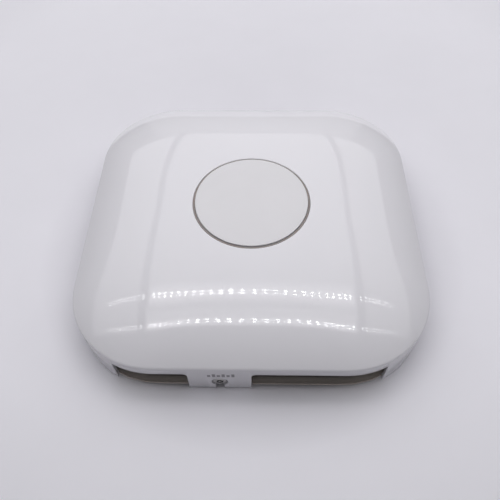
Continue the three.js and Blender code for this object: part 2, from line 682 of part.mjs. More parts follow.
function mountingBracket() {
  const half = BRACKET_WIDTH / 2;
  const plateFront = LUG_FRONT;
  let bracket = plate(-half, half, plateFront, BRACKET_BACK, BRACKET_CORNER, 0, SHEET);
  const keyways = [];
  for (const x of [-STUD_X, STUD_X]) {
    for (const y of STUD_YS) {
      const front = y - BRIDGE_AHEAD;
      const back = front + BRIDGE_LENGTH;
      const left = x - BRIDGE_WIDTH / 2;
      const right = x + BRIDGE_WIDTH / 2;
      const under = BRIDGE_TOP_Z - SHEET;
      bracket = bracket.add(box(left, right, front, back, 0, BRIDGE_TOP_Z));
      keyways.push(box(left + SHEET, right - SHEET, front + SHEET, back - SHEET, -1, under));
      const neck = STUD_NECK_RADIUS + RUN;
      const wide = y - BRACKET_TRAVEL;
      keyways.push(
        upright(x, y, neck, under - 1, BRIDGE_TOP_Z + 1),
        box(x - neck, x + neck, wide, y, under - 1, BRIDGE_TOP_Z + 1),
        upright(x, wide, STUD_HEAD_RADIUS + RUN, under - 1, BRIDGE_TOP_Z + 1),
      );
    }
  }
  const lugTop = SCREW_Z + LUG_RISE;
  const lugHalf = LUG_WIDTH / 2;
  const lug = box(TAB_CENTRE_X - lugHalf, TAB_CENTRE_X + lugHalf, LUG_FRONT, LUG_FRONT + SHEET, 0, lugTop);
  const lugHole = along(TAB_CENTRE_X, SCREW_Z, SCREW_SHANK_RADIUS + RUN, LUG_FRONT - 1, LUG_FRONT + SHEET + 1);
  const middle = (STUD_YS[0] + STUD_YS[1]) / 2;
  const cableX = CABLE_HOLE_WIDTH / 2;
  const cableY = CABLE_HOLE_LENGTH / 2;
  const cableHole = plate(-cableX, cableX, middle - cableY, middle + cableY, BRACKET_CORNER, -1, SHEET + 1);
  const fixings = corners(CEILING_HOLE_X, cableY + CEILING_HOLE_X / 2).map(([x, y]) =>
    upright(x, middle + y, CEILING_HOLE_RADIUS, -1, SHEET + 1),
  );
  return trimmed(bracket.add(lug), ...keyways, lugHole, cableHole, ...fixings);
}

piece("mounting_bracket", mountingBracket(), steel);

function mountingStud() {
  const headTop = BRIDGE_TOP_Z - SHEET - RUN;
  const headBottom = headTop - STUD_HEAD_THICK;
  const flange = RECESS_TOP_Z + TOUCH;
  return turned([
    [0, headBottom],
    [STUD_HEAD_RADIUS, headBottom],
    [STUD_HEAD_RADIUS, headTop],
    [STUD_NECK_RADIUS, headTop],
    [STUD_NECK_RADIUS, flange],
    [STUD_FLANGE_RADIUS, flange],
    [STUD_FLANGE_RADIUS, flange + STUD_FLANGE_THICK],
    [0, flange + STUD_FLANGE_THICK],
  ]);
}

let studNumber = 0;
for (const x of [-STUD_X, STUD_X]) {
  for (const y of STUD_YS) {
    studNumber += 1;
    piece(`mounting_stud_${studNumber}`, mountingStud().translate([x, y, 0]), darkSteel);
  }
}

// ---- Main board ---------------------------------------------------------------------------------------

function mainBoard() {
  const sheet = plate(-BOARD_HALF, BOARD_HALF, BOARD_FRONT, BOARD_BACK, BOARD_CORNER, BOARD_Z, BOARD_TOP_Z);
  const around = LUG_POCKET_HALF + RECESS_PLATE + RUN;
  const [postX, postFront, postBack] = POST_XY;
  const holes = [];
  for (const x of [-postX, postX]) {
    for (const y of [postFront, postBack]) {
      holes.push(upright(x, y, BOARD_SCREW.shank + DRILL, BOARD_Z - 1, BOARD_TOP_Z + 1, ROUND_STEPS / 2));
    }
  }
  const lugNotch = box(
    TAB_CENTRE_X - around,
    TAB_CENTRE_X + around,
    BOARD_FRONT - 1,
    LUG_POCKET_BACK + RECESS_PLATE + RUN,
    BOARD_Z - 1,
    BOARD_TOP_Z + 1,
  );
  return trimmed(sheet, lugNotch, ...holes);
}

piece("main_board", mainBoard(), board);

let boardScrewNumber = 0;
for (const x of [-POST_XY[0], POST_XY[0]]) {
  for (const y of [POST_XY[1], POST_XY[2]]) {
    const { shank, head, headHeight, grip } = BOARD_SCREW;
    const screw = turned([[0, PARTS_Z - grip], [shank, PARTS_Z - grip], [shank, PARTS_Z],
      [head, PARTS_Z], [head, PARTS_Z + headHeight], [0, PARTS_Z + headHeight]], ROUND_STEPS / 2);
    boardScrewNumber += 1;
    piece(`board_screw_${boardScrewNumber}`, screw.translate([x, y, 0]), steel);
  }
}

// A modular socket: its mouth faces the bay, with the latch key cut above it.
function modularJack(x) {
  const nose = BAY_FRONT - TOUCH;
  const half = JACK.width / 2;
  const mouthHalf = JACK_MOUTH.width / 2;
  const mouthZ = PARTS_Z + JACK_MOUTH.bottom;
  const keyHalf = JACK_KEY.width / 2;
  const mouthTop = mouthZ + JACK_MOUTH.height;
  const back = nose - JACK_MOUTH.depth;
  return trimmed(
    box(x - half, x + half, nose - JACK.length, nose, PARTS_Z, PARTS_Z + JACK.height),
    box(x - mouthHalf, x + mouthHalf, back, nose + 1, mouthZ, mouthTop),
    box(x - keyHalf, x + keyHalf, back, nose + 1, mouthTop - 1, mouthTop + JACK_KEY.height),
  );
}

piece("ethernet_jack", modularJack(ETHERNET_X), tin);
piece("console_jack", modularJack(CONSOLE_X), greyPlastic);

function powerJack() {
  const { x, width, height, length, bore, depth, pin } = POWER;
  const nose = BAY_FRONT - TOUCH;
  const z = PARTS_Z + height / 2;
  const socket = trimmed(
    along(x, z, bore, nose - depth, nose + 1, ROUND_STEPS),
    along(x, z, pin, nose - depth - 1, nose - 1, 12),
  );
  return trimmed(box(x - width / 2, x + width / 2, nose - length, nose, PARTS_Z, PARTS_Z + height), socket);
}

piece("power_jack", powerJack(), blackPlastic);

// ---- Reset button and its switch --------------------------------------------------------------------------

const flangeFront = BAY_OUTER_FRONT - RUN - RESET.flangeThick;
const switchFront = flangeFront - RESET.travel - TOUCH;

function resetButton() {
  return joined(
    along(RESET.x, RESET_Z, RESET.cap, flangeFront, BAY_FRONT + RESET.proud, ROUND_STEPS / 2),
    along(RESET.x, RESET_Z, RESET.flange, flangeFront, flangeFront + RESET.flangeThick, ROUND_STEPS / 2),
  );
}

function resetSwitch() {
  const { width, length, plunger, plungerLength } = SWITCH;
  const face = switchFront - plungerLength;
  const half = width / 2;
  return joined(
    box(RESET.x - half, RESET.x + half, face - length, face, PARTS_Z, RESET_Z + half),
    along(RESET.x, RESET_Z, plunger, face - 1, switchFront, 12),
  );
}

piece("reset_button", resetButton(), greyPlastic);
piece("reset_switch", resetSwitch(), blackPlastic);

// ---- Electronics --------------------------------------------------------------------------------------------

const processorY = BAY_FRONT - PROCESSOR.forward;
const padZ = PARTS_Z + PROCESSOR.height + TOUCH;
const sinkZ = padZ + PAD.thick + TOUCH;
const padWidth = PROCESSOR.width - 2 * PAD.inset;
const padLength = PROCESSOR.length - 2 * PAD.inset;

function heatSink() {
  const { base, finHeight, finThick, fins } = HEAT_SINK;
  const { x, width, length } = PROCESSOR;
  let sink = block(x, processorY, width, length, sinkZ, base);
  for (let fin = 0; fin < fins; fin += 1) {
    const at = x - width / 2 + finThick / 2 + (fin * (width - finThick)) / (fins - 1);
    sink = sink.add(block(at, processorY, finThick, length, sinkZ + base / 2, finHeight + base / 2));
  }
  return sink;
}

piece(
  "processor_shield",
  block(PROCESSOR.x, processorY, PROCESSOR.width, PROCESSOR.length, PARTS_Z, PROCESSOR.height),
  tin,
);
piece("thermal_pad", block(PROCESSOR.x, processorY, padWidth, padLength, padZ, PAD.thick), pinkPad);
piece("heat_sink", heatSink(), aluminium);

for (const [name, side] of [["radio_shield_left", -1], ["radio_shield_right", 1]]) {
  const y = BAY_FRONT - RADIO.forward;
  piece(name, block(side * RADIO.x, y, RADIO.width, RADIO.length, PARTS_Z, RADIO.height), tin);
}

const transformerY = BAY_FRONT - TRANSFORMER.forward;
piece(
  "power_transformer",
  block(TRANSFORMER.x, transformerY, TRANSFORMER.width, TRANSFORMER.length, PARTS_Z, TRANSFORMER.height),
  blackPlastic,
);
piece(
  "magnetics_module",
  block(ETHERNET_X, BAY_FRONT - MAGNETICS.forward, MAGNETICS.width, MAGNETICS.length, PARTS_Z, MAGNETICS.height),
  blackPlastic,
);
for (let item = 0; item < CAPACITOR.count; item += 1) {
  const x = CAPACITOR.x + (item - 1) * CAPACITOR.pitch;
  const y = BAY_FRONT - CAPACITOR.forward;
  piece(
    `capacitor_${item + 1}`,
    upright(x, y, CAPACITOR.radius, PARTS_Z, PARTS_Z + CAPACITOR.height, ROUND_STEPS / 2),
    darkSteel,
  );
}

// A stamped inverted-F antenna standing on the board: two legs under one arm.
function antenna() {
  const { height, length, thick, leg, arm, slot } = ANTENNA;
  const low = PARTS_Z;
  const high = PARTS_Z + height;
  const shape = new THREE.Shape();
  shape.moveTo(0, low);
  shape.lineTo(leg, low);
  shape.lineTo(leg, high - arm);
  shape.lineTo(leg + slot, high - arm);
  shape.lineTo(leg + slot, low);
  shape.lineTo(2 * leg + slot, low);
  shape.lineTo(2 * leg + slot, high - arm);
  shape.lineTo(length, high - arm);
  shape.lineTo(length, high);
  shape.lineTo(0, high);
  shape.closePath();
  return swept(shape, -thick / 2, thick / 2).translate([-length / 2, 0, 0]);
}

const { sideInset, frontInset, cornerInset, middleY, frontY } = ANTENNA_PLACE;
const antennaPlaces = [
  { x: -BOARD_HALF + sideInset, y: frontY, turn: 90 },
  { x: -BOARD_HALF + sideInset, y: middleY, turn: 90 },
  { x: BOARD_HALF - sideInset, y: frontY, turn: -90 },
  { x: BOARD_HALF - sideInset, y: middleY, turn: -90 },
  { x: -BOARD_HALF + cornerInset, y: BOARD_FRONT + frontInset, turn: 0 },
  { x: BOARD_HALF - cornerInset, y: BOARD_FRONT + frontInset, turn: 180 },
];
antennaPlaces.forEach(({ x, y, turn }, index) => {
  piece(`antenna_${index + 1}`, antenna().rotate([0, 0, turn]).translate([x, y, 0]), tin);
});

export default accessPoint;
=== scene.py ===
"""Looks of a ceiling access point: a glossy pillow cover on a coved tray, lit by a small light tent.

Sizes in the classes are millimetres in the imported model's own frame: +Z is up, the front is at -Y and
the ceiling plane is z = 0. A mesh is scaled to metres when its piece is published.
"""

import logging
import math
from dataclasses import dataclass, field
from enum import Enum
from typing import Callable, Iterable

import bmesh
import bpy
from mathutils import Euler, Matrix, Vector


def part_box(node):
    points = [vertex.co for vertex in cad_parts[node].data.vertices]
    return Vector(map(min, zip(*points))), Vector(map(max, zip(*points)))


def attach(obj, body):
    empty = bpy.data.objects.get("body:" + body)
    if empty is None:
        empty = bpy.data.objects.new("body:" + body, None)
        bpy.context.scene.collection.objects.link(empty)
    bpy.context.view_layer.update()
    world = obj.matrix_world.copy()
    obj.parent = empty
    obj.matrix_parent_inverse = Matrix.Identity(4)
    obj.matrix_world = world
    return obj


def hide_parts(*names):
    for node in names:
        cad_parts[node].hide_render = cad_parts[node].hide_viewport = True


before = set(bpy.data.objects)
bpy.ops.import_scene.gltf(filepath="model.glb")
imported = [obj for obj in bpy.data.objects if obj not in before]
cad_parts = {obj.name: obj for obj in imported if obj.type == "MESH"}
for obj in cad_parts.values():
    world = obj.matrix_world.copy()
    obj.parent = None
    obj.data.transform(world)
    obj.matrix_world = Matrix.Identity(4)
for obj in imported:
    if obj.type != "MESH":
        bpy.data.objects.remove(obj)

LOG = logging.getLogger("access_point")
MM = 0.001
SAME_POINT = 1e-4
SHARP_ANGLE = math.radians(32)
EASE = 0.3  # where the middle of a small rounding lies, as a share of its width

Colour = tuple[float, float, float]
Point = tuple[float, float, float]


class Body(Enum):
    """The moving bodies that new pieces ride on."""

    HOUSING = "housing"
    SCREW = "screw"


class Slot(Enum):
    """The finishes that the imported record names."""

    COVER = "cover_gloss_white"
    BADGE = "badge_satin_white"
    GUIDE = "guide_translucent"
    LIGHT_BOARD = "light_board_white"
    LAMP = "lamp_resin"
    RIBBON = "ribbon_film"
    TRAY = "tray_beige_paint"
    LABEL = "label_film"
    DARK_STEEL = "dark_steel"
    SCREW = "screw_steel"
    BRACKET = "bracket_steel"
    NYLON = "retainer_nylon"
    BOARD = "board_green"
    TIN = "tin_plate"
    GREY_SOCKET = "socket_grey"
    BLACK = "black_plastic"
    PAD = "thermal_pad"
    SINK = "heat_sink_aluminium"
    CAN = "capacitor_can"


# ---- Finishes ---------------------------------------------------------------------------------


class NodeSheet:
    """A material's node tree, with short ways to add and join its nodes."""

    def __init__(self, name: str) -> None:
        """Starts an empty node material.

        Args:
            name: the material's name.
        """
        self.material = bpy.data.materials.new(name)
        self.material.use_nodes = True
        self.tree = self.material.node_tree
        self.tree.nodes.clear()
        self.output = self.tree.nodes.new("ShaderNodeOutputMaterial")

    def node(self, kind: str, **inputs: object) -> bpy.types.Node:
        """Adds a node and sets its sockets or joins them to other nodes' outputs.

        Args:
            kind: the node's type, without the "ShaderNode" in front.
            **inputs: socket names, with spaces as underscores, and their values or source sockets.

        Returns:
            The new node.
        """
        made = self.tree.nodes.new(f"ShaderNode{kind}")
        for name, value in inputs.items():
            socket = made.inputs[name.replace("_", " ")]
            if isinstance(value, bpy.types.NodeSocket):
                self.tree.links.new(value, socket)
            else:
                socket.default_value = value
        return made

    def coordinates(self, stretch: Point = (1.0, 1.0, 1.0)) -> bpy.types.NodeSocket:
        """Object coordinates, stretched along the axes.

        Args:
            stretch: how many times denser a pattern is along each axis.

        Returns:
            The vector socket that patterns read.
        """
        place = self.node("TexCoord")
        mapping = self.node("Mapping", Vector=place.outputs["Object"])
        mapping.inputs["Scale"].default_value = stretch
        return mapping.outputs["Vector"]

    def noise(self, vector: bpy.types.NodeSocket, size: float, detail: float = 3.0) -> bpy.types.NodeSocket:
        """A cloudy pattern.

        Args:
            vector: where it is read.
            size: the width of one cloud in millimetres.
            detail: how many finer layers it has.

        Returns:
            The socket with its value, about 0.3 to 0.7.
        """
        made = self.node("TexNoise", Vector=vector, Scale=1 / (size * MM), Detail=detail, Roughness=0.55)
        return made.outputs["Fac"]

    def ranged(self, value: bpy.types.NodeSocket, low: float, high: float,
               source: tuple[float, float] = (0.3, 0.7)) -> bpy.types.NodeSocket:
        """A value moved into another range.

        Args:
            value: the source.
            low: what the source's low end becomes.
            high: what its high end becomes.
            source: the source's low and high ends.

        Returns:
            The socket with the new value.
        """
        made = self.node("MapRange", Value=value, From_Min=source[0], From_Max=source[1],
                         To_Min=low, To_Max=high)
        return made.outputs["Result"]

    def blended(self, share: bpy.types.NodeSocket, first: object, second: object) -> bpy.types.NodeSocket:
        """A mix of two colours.

        Args:
            share: how much of the second one, 0 to 1.
            first: a colour or a colour socket.
            second: a colour or a colour socket.

        Returns:
            The mixed colour's socket.
        """
        made = self.tree.nodes.new("ShaderNodeMix")
        made.data_type = "RGBA"
        self.tree.links.new(share, made.inputs["Factor"])
        for name, value in (("A", first), ("B", second)):
            socket = next(s for s in made.inputs if s.name == name and s.type == "RGBA")
            if isinstance(value, bpy.types.NodeSocket):
                self.tree.links.new(value, socket)
            else:
                socket.default_value = (*value, 1.0)
        return next(s for s in made.outputs if s.type == "RGBA")

    def maths(self, operation: str, first: bpy.types.NodeSocket,
              second: bpy.types.NodeSocket) -> bpy.types.NodeSocket:
        """A value worked out from two others.

        Args:
            operation: the Math node's operation.
            first: the first value.
            second: the second value.

        Returns:
            The socket with the result.
        """
        made = self.node("Math")
        made.operation = operation
        self.tree.links.new(first, made.inputs[0])
        self.tree.links.new(second, made.inputs[1])
        return made.outputs[0]

    def surface(self, shader: bpy.types.Node) -> bpy.types.Material:
        """Joins the shader to the output.

        Args:
            shader: the finished shader node.

        Returns:
            The material.
        """
        self.tree.links.new(shader.outputs[0], self.output.inputs["Surface"])
        return self.material


@dataclass(frozen=True)
class Finish:
    """A surface whose colour, gloss and texture wander a little, as moulded and plated parts do."""

    name: str
    colour: Colour
    roughness: float
    metallic: float = 0.0
    wander: float = 0.03
    wander_size: float = 24.0
    gloss_wander: float = 0.03
    grain: float = 0.02
    grain_size: float = 0.5
    stretch: Point = (1.0, 1.0, 1.0)
    coat: float = 0.0
    coat_roughness: float = 0.08
    through: float = 0.0
    specular: float = 0.5

    def shaded(self, sheet: NodeSheet, colour: bpy.types.NodeSocket,
               height: bpy.types.NodeSocket) -> bpy.types.Material:
        """Puts a colour and a height pattern on the shader.

        Args:
            sheet: the node sheet.
            colour: the base colour's socket.
            height: the pattern that stands proud of the surface.

        Returns:
            The material.
        """
        bump = sheet.node("Bump", Strength=self.grain, Distance=self.grain_size * MM / 4, Height=height)
        low = max(0.02, self.roughness - self.gloss_wander)
        gloss = sheet.ranged(height, low, self.roughness + self.gloss_wander)
        shader = sheet.node("BsdfPrincipled", Base_Color=colour, Roughness=gloss, Normal=bump.outputs["Normal"])
        shader.inputs["Metallic"].default_value = self.metallic
        shader.inputs["Specular IOR Level"].default_value = self.specular
        shader.inputs["Coat Weight"].default_value = self.coat
        shader.inputs["Coat Roughness"].default_value = self.coat_roughness
        shader.inputs["Subsurface Weight"].default_value = self.through
        shader.inputs["Subsurface Scale"].default_value = MM
        return sheet.surface(shader)

    def wandering(self, sheet: NodeSheet, vector: bpy.types.NodeSocket) -> bpy.types.NodeSocket:
        """The base colour, a little darker and lighter in clouds.

        Args:
            sheet: the node sheet.
            vector: where the clouds are read.

        Returns:
            The colour's socket.
        """
        dark = tuple(part * (1 - self.wander) for part in self.colour)
        light = tuple(min(1.0, part * (1 + self.wander)) for part in self.colour)
        share = sheet.ranged(sheet.noise(vector, self.wander_size), 0.0, 1.0)
        return sheet.blended(share, dark, light)

    def material(self) -> bpy.types.Material:
        """Builds the node material.

        Returns:
            The material.
        """
        sheet = NodeSheet(self.name)
        vector = sheet.coordinates(self.stretch)
        return self.shaded(sheet, self.wandering(sheet, vector), sheet.noise(vector, self.grain_size, 2.0))


@dataclass(frozen=True)
class Galvanised(Finish):
    """Zinc-coated sheet steel with its frost-like crystals."""

    crystal: float = 9.0

    def material(self) -> bpy.types.Material:
        """Builds the node material.

        Returns:
            The material.
        """
        sheet = NodeSheet(self.name)
        vector = sheet.coordinates(self.stretch)
        cells = sheet.node("TexVoronoi", Vector=vector, Scale=1 / (self.crystal * MM), Randomness=1.0)
        tone = sheet.node("SeparateColor", Color=cells.outputs["Color"]).outputs[0]
        dark = tuple(part * (1 - self.wander) for part in self.colour)
        colour = sheet.blended(sheet.ranged(tone, 0.0, 1.0, (0.0, 1.0)), dark, self.colour)
        return self.shaded(sheet, colour, sheet.noise(vector, self.grain_size, 4.0))


@dataclass(frozen=True)
class SolderMask(Finish):
    """Lacquered board with its copper tracks showing through as lighter lines."""

    track: float = 2.6
    track_colour: Colour = (0.06, 0.24, 0.12)
    track_width: float = 0.06
    track_soft: float = 0.1
    offset: float = 0.37
    squash: float = 0.45
    squash_every: int = 3
    patch: float = 14.0
    patch_range: tuple[float, float] = (0.47, 0.53)

    def material(self) -> bpy.types.Material:
        """Builds the node material.

        Returns:
            The material.
        """
        sheet = NodeSheet(self.name)
        vector = sheet.coordinates(self.stretch)
        bricks = sheet.node("TexBrick", Vector=vector, Scale=1 / (self.track * MM))
        bricks.inputs["Mortar Size"].default_value = self.track_width
        bricks.inputs["Mortar Smooth"].default_value = self.track_soft
        bricks.offset, bricks.squash = self.offset, self.squash
        bricks.squash_frequency = self.squash_every
        patches = sheet.ranged(sheet.noise(vector, self.patch), 0.0, 1.0, self.patch_range)
        lines = sheet.maths("MULTIPLY", bricks.outputs["Fac"], patches)
        colour = sheet.blended(lines, self.wandering(sheet, vector), self.track_colour)
        return self.shaded(sheet, colour, lines)


@dataclass(frozen=True)
class ShadePaintedTray(Finish):
    """Beige paint with painted shade: above the rim its colour darkens with height to near-black, standing in
    for the shade deep in the cove behind the skirt.
    """

    painted_shade: Colour = (0.014, 0.012, 0.011)
    shade_start: float = 3.7
    shade_full: float = 5.6

    def material(self) -> bpy.types.Material:
        """Builds the node material.

        Returns:
            The material.
        """
        sheet = NodeSheet(self.name)
        vector = sheet.coordinates(self.stretch)
        height = sheet.node("SeparateXYZ", Vector=vector).outputs["Z"]
        # painted shade: between these heights the beige blends to near-black, darkening the cove towards its
        # top
        depth = sheet.ranged(height, 0.0, 1.0, (self.shade_start * MM, self.shade_full * MM))
        colour = sheet.blended(depth, self.wandering(sheet, vector), self.painted_shade)
        return self.shaded(sheet, colour, sheet.noise(vector, self.grain_size, 2.0))


@dataclass(frozen=True)
class Glow:
    """A lamp's own light, or a lit backdrop."""

    name: str
    colour: Colour
    strength: float

    def material(self) -> bpy.types.Material:
        """Builds the node material."""
        sheet = NodeSheet(self.name)
        return sheet.surface(sheet.node("Emission", Color=(*self.colour, 1.0), Strength=self.strength))


@dataclass(frozen=True)
class PaleFloor:
    """Matt paper that glows far from the lamps to stay pale, with painted light: a glowing pool round the
    object that rises from just outside its outline and is strongest in front.

    The distances that its light depends on are in metres, as the node reads them.
    """

    colour: Colour = (0.79, 0.78, 0.825)
    grain: float = 0.01
    grain_size: float = 60.0
    roughness: float = 0.9
    specular: float = 0.1
    lit_from: float = 0.32
    lit_fully: float = 1.15
    far_light: float = 0.92
    painted_light_from: float = 0.116
    painted_light_fully: float = 0.150
    painted_front_from: float = 0.02
    painted_front_fully: float = 0.27
    painted_front_centre: Point = (0.0, 0.12, 0.0)
    # painted light: how strongly the paper glows in front of the object
    front_light: float = 0.15

    def reach(self, sheet: NodeSheet, centre: Point) -> bpy.types.NodeSocket:
        """The distance from a point.

        Args:
            sheet: the node sheet.
            centre: the point, in metres.

        Returns:
            The socket with the distance.
        """
        place = sheet.node("TexCoord").outputs["Object"]
        apart = sheet.node("VectorMath")
        apart.operation = "DISTANCE"
        apart.inputs[1].default_value = centre
        sheet.tree.links.new(place, apart.inputs[0])
        return apart.outputs["Value"]

    def material(self) -> bpy.types.Material:
        """Builds the node material.

        Returns:
            The material.
        """
        sheet = NodeSheet("pale_floor")
        middle = self.reach(sheet, (0.0, 0.0, 0.0))
        # painted light: the paper glows from just outside the object's outline, more towards the front, which
        # leaves a dark contact shadow at the object's foot
        clear = sheet.ranged(middle, 0.0, 1.0, (self.painted_light_from, self.painted_light_fully))
        front = sheet.ranged(self.reach(sheet, self.painted_front_centre), 0.0, self.front_light,
                             (self.painted_front_from, self.painted_front_fully))
        far = sheet.ranged(middle, 0.0, self.far_light, (self.lit_from, self.lit_fully))
        light = sheet.maths("MAXIMUM", sheet.maths("MULTIPLY", clear, front), far)
        clouds = sheet.ranged(sheet.noise(sheet.coordinates(), self.grain_size), 0.0, 1.0)
        dark, pale = (tuple(c * (1 + side * self.grain) for c in self.colour) for side in (-1, 1))
        paper = sheet.blended(clouds, dark, pale)
        shader = sheet.node("BsdfPrincipled", Base_Color=paper, Roughness=self.roughness)
        shader.inputs["Specular IOR Level"].default_value = self.specular
        shader.inputs["Emission Color"].default_value = (*self.colour, 1.0)
        sheet.tree.links.new(light, shader.inputs["Emission Strength"])
        return sheet.surface(shader)


@dataclass(frozen=True)
class Palette:
    """Every finish of the object. All but the marks' and the contacts' are named for a record slot."""

    cover: Finish = Finish("cover_gloss_white", (0.80, 0.79, 0.825), 0.045, wander=0.006, wander_size=60.0,
                           gloss_wander=0.012, grain=0.004, grain_size=2.2)
    badge: Finish = Finish("badge_satin_white", (0.74, 0.73, 0.75), 0.34, wander=0.01, wander_size=18.0,
                           gloss_wander=0.04, grain=0.02, grain_size=0.4)
    # The guide's dark grey-brown is painted shade: it stands in for the shade in the narrow groove round the
    # badge.
    guide: Finish = Finish("guide_translucent", (0.30, 0.265, 0.25), 0.4, wander=0.06, wander_size=6.0,
                           grain=0.03, grain_size=0.6, through=0.15)
    light_board: Finish = Finish("light_board_white", (0.78, 0.80, 0.76), 0.42, wander=0.03, grain=0.02)
    lamp: Finish = Finish("lamp_resin", (0.88, 0.86, 0.62), 0.2, wander=0.05, wander_size=1.5, through=0.3)
    ribbon: Finish = Finish("ribbon_film", (0.60, 0.55, 0.42), 0.3, stretch=(1.0, 9.0, 1.0), wander=0.08,
                            wander_size=3.0, coat=0.3)
    # The tray's paint darkens to near-black up its cove: painted shade, not a colour of the part.
    tray: Finish = ShadePaintedTray("tray_beige_paint", (0.52, 0.465, 0.425), 0.62, wander=0.03, wander_size=9.0,
                               grain=0.12, grain_size=0.35, specular=0.06)
    label: Finish = Finish("label_film", (0.70, 0.71, 0.72), 0.35, wander=0.015, grain=0.01)
    dark_steel: Finish = Finish("dark_steel", (0.20, 0.205, 0.215), 0.38, metallic=1.0, wander=0.08,
                                wander_size=2.0, grain=0.05, grain_size=0.25)
    screw: Finish = Finish("screw_steel", (0.56, 0.55, 0.54), 0.30, metallic=1.0, wander=0.05,
                           wander_size=1.2, grain=0.06, grain_size=0.2)
    bracket: Finish = Galvanised("bracket_steel", (0.60, 0.61, 0.63), 0.36, metallic=1.0, wander=0.16,
                                 grain=0.08, grain_size=1.1)
    nylon: Finish = Finish("retainer_nylon", (0.80, 0.79, 0.72), 0.45, wander=0.03, wander_size=2.0,
                           through=0.2)
    board: Finish = SolderMask("board_green", (0.025, 0.12, 0.055), 0.36, wander=0.08, wander_size=8.0,
                               grain=0.35, grain_size=1.0)
    tin: Finish = Finish("tin_plate", (0.70, 0.71, 0.72), 0.26, metallic=1.0, wander=0.05, wander_size=4.0,
                         grain=0.06, grain_size=0.4, stretch=(1.0, 4.0, 1.0))
    grey_socket: Finish = Finish("socket_grey", (0.17, 0.175, 0.185), 0.48, grain=0.08, grain_size=0.2)
    black: Finish = Finish("black_plastic", (0.018, 0.018, 0.02), 0.48, wander=0.12, grain=0.1,
                           grain_size=0.25)
    pad: Finish = Finish("thermal_pad", (0.56, 0.30, 0.34), 0.85, wander=0.08, wander_size=2.5,
                         grain=0.3, grain_size=0.5)
    sink: Finish = Finish("heat_sink_aluminium", (0.72, 0.73, 0.74), 0.34, metallic=1.0, wander=0.04,
                          wander_size=3.0, grain=0.1, grain_size=0.3, stretch=(1.0, 0.12, 1.0))
    can: Finish = Finish("capacitor_can", (0.62, 0.63, 0.66), 0.25, metallic=1.0, wander=0.05,
                         wander_size=2.0, grain=0.04, grain_size=0.2, stretch=(1.0, 1.0, 6.0))
    mark: Finish = Finish("mark_grey", (0.27, 0.265, 0.28), 0.5, wander=0.05, wander_size=1.0,
                          grain=0.1, grain_size=0.15)
    gilt: Finish = Finish("contact_gilt", (0.83, 0.62, 0.28), 0.22, metallic=1.0, wander=0.04,
                          wander_size=1.0, grain=0.02, grain_size=0.2)


class Finishes:
    """Builds each finish once and hands out its material."""

    def __init__(self, palette: Palette) -> None:
        """Takes the palette.

        Args:
            palette: the finishes to build.
        """
        self.palette = palette
        self.made: dict[str, bpy.types.Material] = {}

    def of(self, finish: Finish) -> bpy.types.Material:
        """The material of a finish.

        Args:
            finish: one of the palette's finishes.

        Returns:
            Its material, built the first time it is asked for.
        """
        if finish.name not in self.made:
            self.made[finish.name] = finish.material()
        return self.made[finish.name]

    def for_slot(self, slot: Slot) -> bpy.types.Material:
        """The material of a record slot.

        Args:
            slot: the record's slot.

        Returns:
            Its material.
        """
        named = {finish.name: finish for finish in vars(self.palette).values()}
        return self.of(named[slot.value])


# ---- Shaping ----------------------------------------------------------------------------------


@dataclass(frozen=True)
class Row:
    """One level outline of a pillow shape: its half-width, height and reach along a direction."""

    half: float
    z: float
    reach: Callable[[float], float]


